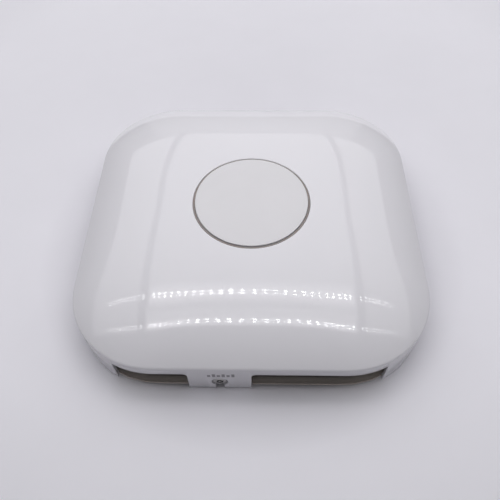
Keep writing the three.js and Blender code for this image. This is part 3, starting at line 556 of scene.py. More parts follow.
@dataclass(frozen=True)
class CoverShape:
    """The pillow that the cover, the tray and the badge share."""

    side: float = 220.0
    plan_corner: float = 55.0
    crease_z: float = 26.5
    dome_rise: float = 17.6
    crown_power: float = 4.2
    level_power: float = 4.4
    wall: float = 2.2
    shell: float = 2.5
    crease_round: float = 0.8
    pocket_radius: float = 38.5
    badge_radius: float = 36.9
    badge_proud: float = 0.7
    badge_thick: float = 3.2

    @property
    def half(self) -> float:
        """Half of the plan width."""
        return self.side / 2

    @property
    def badge_under(self) -> float:
        """Height of the badge's underside."""
        return self.crown(self.badge_radius) + self.badge_proud - self.badge_thick

    def crown(self, half: float) -> float:
        """Height of the dome at a half-width.

        Args:
            half: half-width of the level outline.

        Returns:
            The height.
        """
        return self.crease_z + self.dome_rise * (1 - (half / self.half) ** self.crown_power)

    def plan_reach(self, angle: float, half: float, corner: float) -> float:
        """Distance from the middle to a rounded square's edge.

        Args:
            angle: the direction.
            half: half-width of the square.
            corner: radius of its corners.

        Returns:
            The distance.
        """
        u, v = abs(math.cos(angle)), abs(math.sin(angle))
        flat = half - corner
        if half * min(u, v) <= flat * max(u, v):
            return half / max(u, v)
        return flat * (u + v) + math.sqrt(corner**2 - (flat * (u - v)) ** 2)

    def level_reach(self, angle: float, half: float) -> float:
        """Distance from the middle to the dome's level line: round at the badge, square at the crease.

        Args:
            angle: the direction.
            half: half-width of the level line.

        Returns:
            The distance.
        """
        share = max(0.0, (half - self.pocket_radius) / (self.half - self.pocket_radius))
        power = 2 + (self.level_power - 2) * share
        total = abs(math.cos(angle)) ** power + abs(math.sin(angle)) ** power
        squared = share**3
        plain = self.plan_reach(angle, half, self.plan_corner * half / self.half)
        return (1 - squared) * half / total ** (1 / power) + squared * plain

    def wall_row(self, inset: float, z: float) -> Row:
        """A row of a wall that stands inside the cover's face.

        Args:
            inset: how far inside.
            z: its height.

        Returns:
            The row.
        """
        half = self.half - inset
        return Row(half, z, lambda angle: self.plan_reach(angle, half, self.plan_corner - inset))

    def round_row(self, radius: float, z: float) -> Row:
        """A row that is a circle.

        Args:
            radius: its radius.
            z: its height.

        Returns:
            The row.
        """
        return Row(radius, z, lambda angle: radius)

    def dome_row(self, half: float, drop: float = 0.0, shrink: float = 1.0) -> Row:
        """A row of the dome.

        Args:
            half: half-width before it is drawn in.
            drop: how far it is lowered.
            shrink: how much it is drawn in.

        Returns:
            The row.
        """
        return Row(half * shrink, self.crown(half) - drop, lambda angle: self.level_reach(angle, half) * shrink)

    def dome_rows(self, start: float, count: int, drop: float = 0.0, shrink: float = 1.0) -> list[Row]:
        """The dome's rows from a half-width out to the crease's rounding.

        Args:
            start: the first half-width.
            count: how many steps.
            drop: how far they are lowered.
            shrink: how much they are drawn in.

        Returns:
            The rows.
        """
        span = self.half - self.crease_round - start
        shares = (1 - (1 - step / count) ** 1.5 for step in range(count + 1))
        return [self.dome_row(start + span * share, drop, shrink) for share in shares]


def linked(name: str, data: bpy.types.ID) -> bpy.types.Object:
    """Puts a mesh, a light or a camera in the scene.

    Args:
        name: the object's name.
        data: what it shows.

    Returns:
        The object.
    """
    made = bpy.data.objects.new(name, data)
    bpy.context.scene.collection.objects.link(made)
    return made


class Solid:
    """A closed mesh in millimetres while it is being shaped."""

    def __init__(self, mesh: bmesh.types.BMesh) -> None:
        """Takes a mesh.

        Args:
            mesh: the mesh, which this solid now owns.
        """
        self.mesh = mesh

    @classmethod
    def spun(cls, profile: Iterable[tuple[float, float]], steps: int) -> "Solid":
        """Turns a profile round the Z axis.

        Args:
            profile: radius and height of each point, ending where it starts or on the axis.
            steps: how many steps the full turn has.

        Returns:
            The solid.
        """
        mesh = bmesh.new()
        points = [mesh.verts.new((radius, 0.0, z)) for radius, z in profile]
        edges = [mesh.edges.new(pair) for pair in zip(points, points[1:])]
        bmesh.ops.spin(mesh, geom=points + edges, cent=(0, 0, 0), axis=(0, 0, 1), dvec=(0, 0, 0),
                       angle=math.tau, steps=steps, use_merge=True, use_duplicate=False)
        return cls(mesh).tidied()

    @classmethod
    def pillow(cls, rows: list[Row], steps: int) -> "Solid":
        """Turns the rows' section round Z, then pushes each row out to its own outline.

        Args:
            rows: the rows, in order round the section.
            steps: how many steps the full turn has.

        Returns:
            The solid.
        """
        made = cls.spun([(row.half, row.z) for row in rows], steps)
        nearest: dict[tuple[float, float], Row] = {}
        for vert in made.mesh.verts:
            radius, z = math.hypot(vert.co.x, vert.co.y), vert.co.z
            key = (round(radius, 2), round(z, 2))
            if key not in nearest:
                nearest[key] = min(rows, key=lambda row: abs(row.half - radius) + abs(row.z - z))
            if radius > SAME_POINT:
                vert.co.xy *= nearest[key].reach(math.atan2(vert.co.y, vert.co.x)) / radius
        return made.tidied()

    @classmethod
    def block(cls, low: Point, high: Point) -> "Solid":
        """A box between two corners.

        Args:
            low: its lowest corner.
            high: its highest corner.

        Returns:
            The solid.
        """
        mesh = bmesh.new()
        size = Vector(high) - Vector(low)
        middle = (Vector(high) + Vector(low)) / 2
        bmesh.ops.create_cube(mesh, size=1.0, matrix=Matrix.Translation(middle) @ Matrix.Diagonal((*size, 1)))
        return cls(mesh)

    @classmethod
    def rod(cls, start: Point, end: Point, radius: float, steps: int = 48) -> "Solid":
        """A plain round rod.

        Args:
            start: the middle of one end.
            end: the middle of the other end.
            radius: its radius.
            steps: how many sides it has.

        Returns:
            The solid.
        """
        mesh = bmesh.new()
        run = Vector(end) - Vector(start)
        turn = run.to_track_quat("Z", "Y").to_matrix().to_4x4()
        place = Matrix.Translation((Vector(start) + Vector(end)) / 2) @ turn
        bmesh.ops.create_cone(mesh, cap_ends=True, segments=steps, radius1=radius, radius2=radius,
                              depth=run.length, matrix=place)
        return cls(mesh)

    def tidied(self) -> "Solid":
        """Merges doubled points and turns every face outwards.

        Returns:
            This solid.
        """
        bmesh.ops.remove_doubles(self.mesh, verts=self.mesh.verts, dist=SAME_POINT)
        bmesh.ops.recalc_face_normals(self.mesh, faces=self.mesh.faces)
        return self

    def moved(self, matrix: Matrix) -> "Solid":
        """Moves or turns the solid.

        Args:
            matrix: the move.

        Returns:
            This solid.
        """
        bmesh.ops.transform(self.mesh, matrix=matrix, verts=self.mesh.verts)
        return self

    def facing_front(self, x: float, y: float, z: float) -> "Solid":
        """Lays a solid that was turned round Z along Y, so that its top faces the front.

        Args:
            x: where its axis goes.
            y: where its z = 0 goes.
            z: height of its axis.

        Returns:
            This solid.
        """
        return self.moved(Matrix.Translation((x, y, z)) @ Euler((math.pi / 2, 0, 0)).to_matrix().to_4x4())

    def rounded(self, width: float, chosen: Callable[[bmesh.types.BMEdge], bool], segments: int = 2) -> "Solid":
        """Rounds sharp edges.

        Args:
            width: the width of the rounding.
            chosen: says whether a sharp edge is rounded.
            segments: how many steps the rounding has.

        Returns:
            This solid.
        """
        edges = [e for e in self.mesh.edges if len(e.link_faces) == 2
                 and e.calc_face_angle(0.0) > SHARP_ANGLE and chosen(e)]
        bmesh.ops.bevel(self.mesh, geom=edges, offset=width, offset_type="OFFSET", segments=segments,
                        profile=0.5, affect="EDGES", material=-1, clamp_overlap=True)
        return self

    def merged(self, *others: "Solid") -> "Solid":
        """Adds other solids' faces to this one, side by side.

        Args:
            *others: the solids, which are used up.

        Returns:
            This solid.
        """
        for other in others:
            data = other.given_up("holder")
            self.mesh.from_mesh(data)
            bpy.data.meshes.remove(data)
        return self

    def carved(self, *tools: "Solid") -> "Solid":
        """Cuts other solids out of this one.

        Args:
            *tools: the solids, which are used up.

        Returns:
            This solid.
        """
        host = linked("holder", self.given_up("holder"))
        helpers = [linked("holder", tool.given_up("holder")) for tool in tools]
        for helper in helpers:
            step = host.modifiers.new("carve", "BOOLEAN")
            step.operation = "DIFFERENCE"
            step.object = helper
            step.solver = "EXACT"
        graph = bpy.context.evaluated_depsgraph_get()
        result = bpy.data.meshes.new_from_object(host.evaluated_get(graph))
        self.mesh = bmesh.new()
        self.mesh.from_mesh(result)
        bpy.data.meshes.remove(result)
        for helper in (host, *helpers):
            data = helper.data
            bpy.data.objects.remove(helper)
            bpy.data.meshes.remove(data)
        return self

    def given_up(self, name: str) -> bpy.types.Mesh:
        """Turns the mesh into plain mesh data, which ends its shaping.

        Args:
            name: the data's name.

        Returns:
            The data.
        """
        data = bpy.data.meshes.new(name)
        self.mesh.to_mesh(data)
        self.mesh.free()
        return data

    def published(self, name: str, material: bpy.types.Material) -> bpy.types.Object:
        """Makes the solid an object in metres, smooth between its sharp edges.

        Args:
            name: the object's name.
            material: its material.

        Returns:
            The object.
        """
        bmesh.ops.scale(self.mesh, vec=(MM, MM, MM), verts=self.mesh.verts)
        data = self.given_up(name)
        data.materials.append(material)
        data.polygons.foreach_set("use_smooth", [True] * len(data.polygons))
        data.set_sharp_from_angle(angle=SHARP_ANGLE)
        return linked(name, data)


def fitted(solid: Solid, name: str, material: bpy.types.Material, body: Body,
           nodes: tuple[str, ...] = ()) -> bpy.types.Object:
    """Publishes a solid as a piece of the object.

    Args:
        solid: its shape.
        name: its name.
        material: its material.
        body: what it moves with.
        nodes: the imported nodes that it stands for.

    Returns:
        The piece.
    """
    piece = solid.published(name, material)
    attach(piece, body.value)
    if nodes:
        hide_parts(*nodes)
    LOG.info("%s: %d faces, rides on %s", name, len(piece.data.polygons), body.value)
    return piece


# ---- Sub-assemblies -----------------------------------------------------------------------------


@dataclass
class Cover:
    """The glossy shell: a dome with a round pocket, and a skirt that is cut away beside its front tab."""

    shape: CoverShape
    steps: int = 288
    dome_steps: int = 44
    inside_steps: int = 14
    light_well_radius: float = 24.0
    pocket_floor: float = 2.0
    guide_drop: float = 1.4
    lip_round: float = 0.25
    foot_round: float = 0.25
    cutaway_reach: float = 80.0
    cutaway_height: float = 19.5
    cutaway_round: float = 3.0
    tab_left: float = -36.0
    tab_right: float = 1.2
    keyhole_x: float = -17.4
    keyhole_z: float = 8.5
    keyhole_radius: float = 5.0
    keyhole_slot: float = 5.0
    notch_width: float = 22.0
    notch_height: float = 9.0
    notch_round: float = 1.5
    edge_round: float = 0.22
    boss_xy: float = 78.0
    boss_radius: float = 4.5
    boss_bottom: float = 9.2
    boss_bore: float = 2.0
    boss_bore_top: float = 19.0
    boss_under: float = 0.86
    boss_short: float = 1.5
    boss_draft: float = 0.4
    mark_count: int = 6
    mark_pitch: float = 2.8
    mark_width: float = 1.8
    mark_height: float = 4.2
    mark_short: float = 0.72
    mark_bottom: float = 15.9
    mark_x: float = -16.4
    mark_depth: float = 0.12
    inlay_sunk: float = 0.4
    inlay_gap: float = 0.02
    marks_half: float = 9.0
    marks_margin: float = 0.1
    on_face: float = 0.01
    below_crease: float = 1.5

    def section(self) -> list[Row]:
        """The rows of the shell's section, round from the pocket's floor and back.

        Returns:
            The rows.
        """
        shape = self.shape
        pocket_z = shape.badge_under - self.guide_drop
        under_z = pocket_z - self.pocket_floor
        lip = self.lip_round
        lip_z = shape.crown(shape.pocket_radius)
        inward = (shape.half - shape.wall) / shape.half
        dome = shape.dome_rows(shape.pocket_radius + lip, self.dome_steps)
        inside = shape.dome_rows(shape.pocket_radius + shape.shell + 1, self.inside_steps, shape.shell, inward)
        foot = self.foot_round
        return [
            shape.round_row(self.light_well_radius, pocket_z),
            shape.round_row(shape.pocket_radius, pocket_z),
            shape.round_row(shape.pocket_radius, lip_z - lip),
            shape.round_row(shape.pocket_radius + lip * EASE, lip_z - lip * EASE),
            *dome,
            *self.crease_rows(dome[-1]),
            shape.wall_row(0, foot),
            shape.wall_row(foot * EASE, foot * EASE),
            shape.wall_row(foot, 0),
            shape.wall_row(shape.wall, 0),
            shape.wall_row(shape.wall, shape.crease_z - shape.shell - shape.crease_round),
            *reversed(inside),
            shape.round_row(shape.pocket_radius + shape.shell, under_z),
            shape.round_row(self.light_well_radius, under_z),
            shape.round_row(self.light_well_radius, pocket_z),
        ]

    def crease_rows(self, last: Row, count: int = 5) -> list[Row]:
        """The rounding between the dome's edge and the skirt.

        Args:
            last: the dome's last row.
            count: how many rows.

        Returns:
            The rows, which end on the skirt.
        """
        shape = self.shape
        width = shape.crease_round
        slope = shape.dome_rise * shape.crown_power / shape.half
        corner_z = last.z - slope * width
        rows = []
        for step in range(1, count + 1):
            share = step / count
            inset = width * (1 - share) ** 2
            z = last.z * (1 - share) ** 2 + 2 * corner_z * share * (1 - share)
            rows.append(shape.wall_row(inset, z + (corner_z - width) * share**2))
        return rows

    def cutaway(self, inner: float, outer: float) -> Solid:
        """The space of one front cut-away, with its inner top corner rounded.

        Args:
            inner: x of the side by the tab.
            outer: x of the far side.

        Returns:
            The cutter.
        """
        front = -self.shape.half - self.shape.wall
        back = -self.shape.half + self.shape.plan_corner / 2
        cutter = Solid.block((min(inner, outer), front, -self.cutaway_round),
                             (max(inner, outer), back, self.cutaway_height))
        top = self.cutaway_height - SAME_POINT
        corner = [e for e in cutter.mesh.edges
                  if all(abs(v.co.x - inner) < SAME_POINT and v.co.z > top for v in e.verts)]
        bmesh.ops.bevel(cutter.mesh, geom=corner, offset=self.cutaway_round, offset_type="OFFSET",
                        segments=10, profile=0.5, affect="EDGES", material=-1)
        return cutter

    def keyhole(self) -> list[Solid]:
        """The round hole for the screw's head, and the slot under it.

        Returns:
            The two cutters.
        """
        x, z, half = self.keyhole_x, self.keyhole_z, self.keyhole_slot / 2
        front, back = -self.shape.half - self.shape.wall, -self.shape.half + 2 * self.shape.wall
        return [
            Solid.rod((x, front, z), (x, back, z), self.keyhole_radius, 64),
            Solid.block((x - half, front, -self.shape.wall), (x + half, back, z)),
        ]

    def rear_notch(self) -> Solid:
        """The space of the cable notch in the rear of the skirt.

        Returns:
            The cutter.
        """
        half, rear, wall = self.notch_width / 2, self.shape.half, self.shape.wall
        notch = Solid.block((-half, rear - 2 * wall, -wall), (half, rear + 2 * wall, self.notch_height))
        top = self.notch_height - SAME_POINT
        return notch.rounded(self.notch_round, lambda e: all(v.co.z > top for v in e.verts)
                             and abs(e.verts[0].co.x - e.verts[1].co.x) < SAME_POINT, 6)

    def marks(self, front: float, back: float, shrink: float = 0.0) -> list[Solid]:
        """The row of plain marks above the keyhole.

        Args:
            front: y of their faces.
            back: y of their backs.
            shrink: how much smaller they are on every side.

        Returns:
            One solid each.
        """
        made = []
        for index in range(self.mark_count):
            x = self.mark_x + (index - (self.mark_count - 1) / 2) * self.mark_pitch
            half = self.mark_width / 2 - shrink
            tall = self.mark_height * (1.0 if index % 2 else self.mark_short) - shrink
            made.append(Solid.block((x - half, front, self.mark_bottom + shrink),
                                    (x + half, back, self.mark_bottom + tall)))
        return made

    def at_cut(self, edge: bmesh.types.BMEdge) -> bool:
        """Says whether an edge is on the skirt's outer face, where something is cut out of it.

        Args:
            edge: the edge.

        Returns:
            True where it is, apart from the marks' own edges.
        """
        points = [vert.co for vert in edge.verts]
        shape = self.shape
        reaches = (shape.plan_reach(math.atan2(p.y, p.x), shape.half, shape.plan_corner) for p in points)
        outside = all(abs(reach - math.hypot(p.x, p.y)) < self.on_face for reach, p in zip(reaches, points))
        below = all(p.z < shape.crease_z - self.below_crease for p in points)
        by_mark = all(p.z > self.mark_bottom - self.marks_margin and abs(p.x - self.mark_x) < self.marks_half
                      for p in points)
        return outside and below and not (by_mark and points[0].y < 0)

    def bosses(self) -> Solid:
        """The four posts inside that take the case screws.

        Returns:
            All four as one solid.
        """
        shape = self.shape
        top = shape.crown(shape.half * self.boss_under) - shape.shell - self.boss_short
        profile = [(self.boss_bore, self.boss_bottom), (self.boss_radius, self.boss_bottom),
                   (self.boss_radius + self.boss_draft, top), (0.0, top), (0.0, self.boss_bore_top),
                   (self.boss_bore, self.boss_bore_top), (self.boss_bore, self.boss_bottom)]
        posts = []
        for x in (-self.boss_xy, self.boss_xy):
            for y in (-self.boss_xy, self.boss_xy):
                posts.append(Solid.spun(profile, 32).moved(Matrix.Translation((x, y, 0))))
        return posts[0].merged(*posts[1:])

    def build(self, finishes: Finishes) -> None:
        """Makes the shell, its posts and its marks.

        Args:
            finishes: where the materials come from.
        """
        face = -self.shape.half
        shell = Solid.pillow(self.section(), self.steps)
        shell.carved(
            self.cutaway(self.tab_left, -self.cutaway_reach),
            self.cutaway(self.tab_right, self.cutaway_reach),
            *self.keyhole(),
            self.rear_notch(),
            *self.marks(face - 1, face + self.mark_depth),
        )
        shell.rounded(self.edge_round, self.at_cut)
        cover = finishes.for_slot(Slot.COVER)
        fitted(shell, "cover_shell", cover, Body.HOUSING, ("top_cover",))
        fitted(self.bosses(), "cover_posts", cover, Body.HOUSING)
        inlays = self.marks(face + self.mark_depth * self.inlay_sunk, face + self.mark_depth, self.inlay_gap)
        marks = inlays[0].merged(*inlays[1:])
        fitted(marks, "cover_marks", finishes.of(finishes.palette.mark), Body.HOUSING)


@dataclass
class Badge:
    """The round plate in the middle of the dome and the light ring round it."""

    shape: CoverShape
    steps: int = 160
    rings: int = 10
    edge_round: float = 0.3
    edge_steps: int = 5
    under_bevel: float = 0.2
    gap: float = 0.2
    guide_wall: float = 1.2
    guide_floor: float = 1.0
    guide_sunk: float = 0.3
    touch: float = 0.2
    ring_round: float = 0.2

    def disc(self) -> Solid:
        """The plate, which follows the dome and has a soft edge.

        Returns:
            The solid.
        """
        shape = self.shape
        radius, under, soft = shape.badge_radius, shape.badge_under, self.edge_round
        rim = shape.crown(radius) + shape.badge_proud
        bevel = self.under_bevel
        profile = [(0.0, under), (radius - bevel, under), (radius, under + bevel), (radius, rim - soft)]
        for step in range(1, self.edge_steps):
            turn = step / self.edge_steps * math.pi / 2
            profile.append((radius - soft * (1 - math.cos(turn)), rim - soft * (1 - math.sin(turn))))
        for step in range(self.rings + 1):
            at = (radius - soft) * (1 - step / self.rings)
            profile.append((at, shape.crown(at) + shape.badge_proud))
        return Solid.spun(profile, self.steps)

    def dish(self) -> Solid:
        """The translucent dish whose rim shows as a ring, tinted dark with painted shade of the narrow groove
        round the plate.

        Returns:
            The solid.
        """
        inner = self.shape.badge_radius + self.gap
        outer = inner + self.guide_wall
        top = self.shape.crown(outer) - self.guide_sunk
        bottom = self.shape.badge_under - self.touch - self.guide_floor
        soft = self.ring_round
        profile = [(0.0, bottom), (outer, bottom), (outer, top - soft), (outer - soft, top),
                   (inner + soft, top), (inner, top - soft), (inner, bottom + self.guide_floor),
                   (0.0, bottom + self.guide_floor)]
        return Solid.spun(profile, self.steps)

    def build(self, finishes: Finishes) -> None:
        """Makes the plate and the ring.

        Args:
            finishes: where the materials come from.
        """
        fitted(self.disc(), "badge_plate", finishes.for_slot(Slot.BADGE), Body.HOUSING,
               ("badge_disc",))
        fitted(self.dish(), "light_ring", finishes.for_slot(Slot.GUIDE), Body.HOUSING,
               ("light_guide",))


@dataclass
class SecurityScrew:
    """The captive screw in the keyhole, with a pin in its six-sided socket."""

    x: float = -17.4
    z: float = 8.5
    face_y: float = -109.6
    head_radius: float = 4.0
    head_length: float = 3.8
    shank_radius: float = 2.0
    tip_y: float = -83.0
    socket_radius: float = 2.3
    socket_depth: float = 2.2
    pin_radius: float = 0.7
    thread_pitch: float = 0.7
    thread_depth: float = 0.25
    thread_turns: int = 14
    thread_root: float = 0.4
    thread_crest: float = 0.8
    head_round: float = 0.35
    head_bevel: float = 0.2
    tip_plain: float = 0.8
    tip_bevel: float = 0.5
    tip_share: float = 0.6

    def build(self, finishes: Finishes) -> None:
        """Makes the screw.

        Args:
            finishes: where the materials come from.
        """
        length = self.tip_y - self.face_y
        radius, soft, neck = self.head_radius, self.head_round, self.head_bevel
        core = self.shank_radius - self.thread_depth
        profile = [(0.0, 0.0), (radius - soft, 0.0), (radius - soft * EASE, -soft * EASE), (radius, -soft),
                   (radius, -self.head_length + neck), (radius - neck, -self.head_length),
                   (self.shank_radius, -self.head_length)]
        start = length - self.tip_plain - self.thread_turns * self.thread_pitch
        profile.append((self.shank_radius, -start))
        for turn in range(self.thread_turns):
            at = start + turn * self.thread_pitch
            root, crest = at + self.thread_pitch * self.thread_root, at + self.thread_pitch * self.thread_crest
            profile += [(core, -root), (self.shank_radius, -crest)]
        profile += [(core, -length + self.tip_bevel), (core * self.tip_share, -length), (0.0, -length)]
        screw = Solid.spun(profile, 48)
        socket = Solid.rod((0, 0, -self.socket_depth), (0, 0, 1), self.socket_radius, 6)
        pin = Solid.rod((0, 0, -self.socket_depth - 1), (0, 0, 2), self.pin_radius, 20)
        screw.carved(socket.carved(pin))
        screw.facing_front(self.x, self.face_y, self.z)
        fitted(screw, "pin_screw", finishes.for_slot(Slot.SCREW), Body.SCREW, ("security_screw",))


@dataclass
class Sockets:
    """The gilt contacts inside the two modular sockets."""

    contact_count: int = 8
    pitch: float = 1.02
    radius: float = 0.2
    root: tuple[float, float] = (13.9, 6.6)
    tip: tuple[float, float] = (3.0, 2.9)

    def build(self, finishes: Finishes) -> None:
        """Makes a comb of contacts in each socket.

        Args:
            finishes: where the materials come from.
        """
        for node in ("ethernet_jack", "console_jack"):
            low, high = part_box(node)
            middle = (low.x + high.x) / 2 / MM
            nose, floor = high.y / MM, low.z / MM
            wires = []
            for index in range(self.contact_count):
                x = middle + (index - (self.contact_count - 1) / 2) * self.pitch
                ends = [(x, nose - depth, floor + rise) for depth, rise in (self.root, self.tip)]
                wires.append(Solid.rod(*ends, self.radius, 8))
            comb = wires[0].merged(*wires[1:])
            name = node.replace("jack", "contacts")
            fitted(comb, name, finishes.of(finishes.palette.gilt), Body.HOUSING)


@dataclass
class CarriedNodes:
    """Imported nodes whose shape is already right, which get a finish and smooth curves."""

    slots: dict[str, Slot] = field(default_factory=lambda: {
        "base_chassis": Slot.TRAY,
        "mounting_bracket": Slot.BRACKET,
        "screw_retainer": Slot.NYLON,
        "reset_button": Slot.GREY_SOCKET,
        "reset_switch": Slot.BLACK,
        "light_board": Slot.LIGHT_BOARD,
        "light_ribbon": Slot.RIBBON,
        "label_plate": Slot.LABEL,
        "main_board": Slot.BOARD,
        "ethernet_jack": Slot.TIN,
        "console_jack": Slot.GREY_SOCKET,
        "power_jack": Slot.BLACK,
        "processor_shield": Slot.TIN,
        "thermal_pad": Slot.PAD,
        "heat_sink": Slot.SINK,
        "radio_shield_left": Slot.TIN,
        "radio_shield_right": Slot.TIN,
        "power_transformer": Slot.BLACK,
        "magnetics_module": Slot.BLACK,
    })
    families: dict[str, Slot] = field(default_factory=lambda: {
        "status_lamp_": Slot.LAMP,
        "case_screw_": Slot.DARK_STEEL,
        "mounting_stud_": Slot.DARK_STEEL,
        "board_screw_": Slot.SCREW,
        "capacitor_": Slot.CAN,
        "antenna_": Slot.TIN,
    })
    unrounded: tuple[str, ...] = ("base_chassis", "mounting_bracket", "light_ribbon", "label_plate")
    edge_width: float = 0.12

    def slot_of(self, node: str) -> Slot | None:
        """The record slot of a node.

        Args:
            node: the node's name.

        Returns:
            Its slot, or None where another piece stands for it.
        """
        if node in self.slots:
            return self.slots[node]
        return next((slot for start, slot in self.families.items() if node.startswith(start)), None)

    def smoothing(self) -> bpy.types.NodeTree:
        """A modifier tree that joins loose triangles and smooths all but the sharp edges.

        Returns:
            The tree.
        """
        tree = bpy.data.node_groups.new("smooth_curves", "GeometryNodeTree")
        tree.interface.new_socket("Geometry", in_out="INPUT", socket_type="NodeSocketGeometry")
        tree.interface.new_socket("Geometry", in_out="OUTPUT", socket_type="NodeSocketGeometry")
        source = tree.nodes.new("NodeGroupInput")
        target = tree.nodes.new("NodeGroupOutput")
        weld = tree.nodes.new("GeometryNodeMergeByDistance")
        weld.inputs["Distance"].default_value = SAME_POINT * MM
        smooth = tree.nodes.new("GeometryNodeSetShadeSmooth")
        crisp = tree.nodes.new("GeometryNodeSetShadeSmooth")
        crisp.domain = "EDGE"
        crisp.inputs["Shade Smooth"].default_value = False
        angle = tree.nodes.new("GeometryNodeInputMeshEdgeAngle")
        compare = tree.nodes.new("FunctionNodeCompare")
        compare.data_type = "FLOAT"
        compare.operation = "GREATER_THAN"
        compare.inputs[1].default_value = SHARP_ANGLE
        join = tree.links.new
        join(source.outputs[0], weld.inputs["Geometry"])
        join(weld.outputs["Geometry"], smooth.inputs["Geometry"])
        join(smooth.outputs["Geometry"], crisp.inputs["Geometry"])
        join(angle.outputs["Unsigned Angle"], compare.inputs[0])
        join(compare.outputs["Result"], crisp.inputs["Selection"])
        join(crisp.outputs["Geometry"], target.inputs[0])
        return tree

    def build(self, finishes: Finishes) -> None:
        """Dresses every carried node.

        Args:
            finishes: where the materials come from.
        """
        tree = self.smoothing()
        for name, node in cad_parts.items():
            slot = self.slot_of(name)
            if slot is None:
                continue
            material = finishes.for_slot(slot)
            if node.material_slots:
                for place in node.material_slots:
                    place.material = material
            else:
                LOG.warning("%s has no material slot", name)
            if name not in self.unrounded:
                weld = node.modifiers.new("weld", "WELD")
                weld.merge_threshold = SAME_POINT * MM
                soft = node.modifiers.new("soft_edges", "BEVEL")
                soft.width = self.edge_width * MM
                soft.segments = 2
                soft.limit_method = "ANGLE"
                soft.angle_limit = SHARP_ANGLE
            node.modifiers.new("smooth_curves", "NODES").node_group = tree
            LOG.info("%s: carried over as %s", name, slot.value)


# ---- Studio ---------------------------------------------------------------------------------------


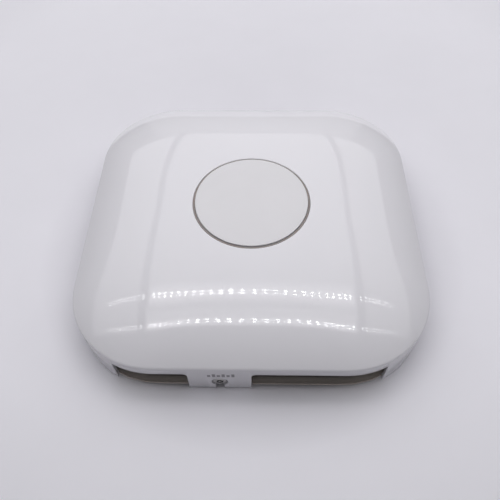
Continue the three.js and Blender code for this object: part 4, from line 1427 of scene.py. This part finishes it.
@dataclass
class LightTent:
    """A pale floor under a small light tent with two rows of lamps in its roof and an open front.

    Each row has a halo of nested panels, given as the middle's y and the width. The side rows are the
    lamps' faint reflections in the tent's walls.
    """

    roof_z: float = 400.0
    roof_half: float = 212.0
    roof_front: float = -142.0
    roof_back: float = 760.0
    roof_light: float = 1.10
    side_light: float = 1.02
    side_x: float = 407.0
    side_width: float = 330.0
    back_light: float = 0.31
    back_width: float = 700.0
    back_gap: float = 10.0
    strip_ys: tuple[float, ...] = (25.0, -115.0)
    row_gap: float = 12.0
    lamp_pitch: float = 16.0
    lamp_count: int = 25
    lamp_radius: float = 2.8
    lamp_drop: float = 4.0
    lamp_light: float = 32.0
    halos: tuple[tuple[float, float], ...] = ((25.0, 30.0), (25.0, 58.0), (25.0, 92.0),
                                              (-115.0, 26.0), (-115.0, 54.0), (-95.0, 94.0))
    halo_light: float = 0.74
    halo_length: float = 404.0
    ghost_count: int = 12
    ghost_start: float = 226.0
    ghost_share: float = 0.5
    front_light: float = 0.16
    front_depth: float = 600.0
    front_width: float = 1100.0
    air_light: float = 0.055
    floor_radius: float = 6.0
    floor_z: float = -0.8

    def panel(self, name: str, middle: Point, aim: Point, size: tuple[float, float], light: float) -> None:
        """Hangs a flat lit panel.

        Args:
            name: its name.
            middle: where its middle is.
            aim: the direction it shines in.
            size: its width and height.
            light: its brightness, where 1 is white paper.
        """
        lamp = bpy.data.lights.new(name, "AREA")
        lamp.shape = "RECTANGLE"
        lamp.size, lamp.size_y = size[0] * MM, size[1] * MM
        lamp.color = (0.985, 0.98, 1.0)
        lamp.energy = light * math.pi * lamp.size * lamp.size_y
        holder = linked(name, lamp)
        holder.location = Vector(middle) * MM
        holder.rotation_euler = Vector(aim).to_track_quat("-Z", "Y").to_euler()
        holder.visible_camera = False

    def strip(self, name: str, xs: list[float], y: float, strength: float) -> None:
        """Hangs a double row of small lamps, which show only as reflections.

        Args:
            name: its name.
            xs: where the lamps are along the row.
            y: the middle between the rows.
            strength: their brightness.
        """
        mesh = bmesh.new()
        turn = Matrix.Rotation(math.pi, 4, "X")
        for x in xs:
            for side in (-0.5, 0.5):
                spot = Vector((x, y + side * self.row_gap, self.roof_z - self.lamp_drop))
                place = Matrix.Translation(spot * MM) @ turn
                bmesh.ops.create_circle(mesh, cap_ends=True, segments=10, radius=self.lamp_radius * MM,
                                        matrix=place)
        self.staged(name, mesh, Glow(name, (1.0, 1.0, 1.0), strength).material(), camera=False, diffuse=False)

    def staged(self, name: str, mesh: bmesh.types.BMesh, material: bpy.types.Material, camera: bool = True,
               diffuse: bool = True, glossy: bool = True) -> None:
        """Puts a mesh in the studio that isn't part of the object.

        Args:
            name: its name.
            mesh: its shape in metres, which is used up.
            material: its material.
            camera: whether the camera sees it.
            diffuse: whether it lights matt surfaces.
            glossy: whether it shows in reflections.
        """
        data = Solid(mesh).given_up(name)
        data.materials.append(material)
        thing = linked(name, data)
        thing.visible_camera = camera
        thing.visible_diffuse = diffuse
        thing.visible_glossy = glossy
        thing.visible_shadow = camera and diffuse

    def floor(self) -> None:
        """Lays the paper floor and stands a pale backdrop far behind everything."""
        paper = PaleFloor()
        disc = bmesh.new()
        bmesh.ops.create_circle(disc, cap_ends=True, segments=96, radius=self.floor_radius,
                                matrix=Matrix.Translation((0, 0, self.floor_z * MM)))
        self.staged("floor", disc, paper.material())
        ball = bmesh.new()
        bmesh.ops.create_uvsphere(ball, u_segments=48, v_segments=24, radius=self.floor_radius)
        bmesh.ops.reverse_faces(ball, faces=ball.faces)
        backdrop = Glow("backdrop", paper.colour, 1.0).material()
        self.staged("backdrop", ball, backdrop, diffuse=False, glossy=False)

    def air(self) -> None:
        """Sets the faint light that comes from everywhere."""
        world = bpy.data.worlds.new("air")
        world.use_nodes = True
        ground = world.node_tree.nodes["Background"]
        ground.inputs["Color"].default_value = (0.97, 0.97, 1.0, 1.0)
        ground.inputs["Strength"].default_value = self.air_light
        bpy.context.scene.world = world

    def build(self) -> None:
        """Sets up the floor, the panels and the lamps."""
        self.floor()
        self.air()
        depth = self.roof_back - self.roof_front
        middle_y = (self.roof_back + self.roof_front) / 2
        down = (0, 0, -1)
        height = self.roof_z - 2 * self.back_gap
        self.panel("roof", (0, middle_y, self.roof_z), down, (2 * self.roof_half, depth), self.roof_light)
        self.panel("front", (0, self.roof_front - self.front_depth / 2, self.roof_z), down,
                   (self.front_width, self.front_depth), self.front_light)
        for name, side in (("left_wall", -1), ("right_wall", 1)):
            self.panel(name, (side * self.side_x, middle_y, self.roof_z), down, (self.side_width, depth),
                       self.side_light)
        self.panel("back_wall", (0, self.roof_back + self.back_gap, height / 2 + self.back_gap), (0, -1, 0),
                   (self.back_width, height), self.back_light)
        half = (self.lamp_count - 1) / 2
        row = [(index - half) * self.lamp_pitch for index in range(self.lamp_count)]
        ghosts = [side * (self.ghost_start + index * self.lamp_pitch)
                  for side in (-1, 1) for index in range(self.ghost_count)]
        for number, y in enumerate(self.strip_ys, 1):
            self.strip(f"lamp_row_{number}", row, y, self.lamp_light)
            self.strip(f"side_row_{number}", ghosts, y, self.lamp_light * self.ghost_share)
        for number, (y, width) in enumerate(self.halos, 1):
            self.panel(f"halo_{number}", (0, y, self.roof_z - number), down, (self.halo_length, width),
                       self.halo_light)
        bpy.context.scene.view_settings.view_transform = "Standard"


@dataclass
class Viewpoint:
    """Where the camera stands and how it is turned."""

    place: Point = (4.85, -227.97, 308.75)
    pitch: float = 54.571
    yaw: float = -1.583
    roll: float = -0.934
    focal: float = 532.06
    frame_width: float = 500.0
    sensor: float = 36.0

    def build(self) -> None:
        """Makes the camera the scene's own."""
        pitch, yaw, roll = (math.radians(v) for v in (self.pitch, self.yaw, self.roll))
        ahead = Vector((math.sin(yaw) * math.cos(pitch), math.cos(yaw) * math.cos(pitch), -math.sin(pitch)))
        level = Vector((math.cos(yaw), -math.sin(yaw), 0))
        upward = level.cross(ahead)
        right = math.cos(roll) * level + math.sin(roll) * upward
        up = math.cos(roll) * upward - math.sin(roll) * level
        turn = Matrix((right, up, -ahead)).transposed()
        data = bpy.data.cameras.new("camera")
        data.sensor_width = self.sensor
        data.lens = self.focal / self.frame_width * self.sensor
        data.clip_start = 0.01
        camera = linked("camera", data)
        camera.matrix_world = Matrix.Translation(Vector(self.place) * MM) @ turn.to_4x4()
        bpy.context.scene.camera = camera


def plain(corners: tuple[Vector, Vector]) -> list[list[float]]:
    """Turns two corners into plain lists of numbers."""
    return [list(corner) for corner in corners]


def main() -> None:
    """Builds the object, the studio and the camera."""
    logging.basicConfig(level=logging.INFO, format="%(message)s")
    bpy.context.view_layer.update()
    Viewpoint().build()
    LightTent().build()
    finishes = Finishes(Palette())
    shape = CoverShape()
    for part in (Cover(shape), Badge(shape), SecurityScrew(), Sockets(), CarriedNodes()):
        part.build(finishes)


if __name__ == "__main__":
    main()
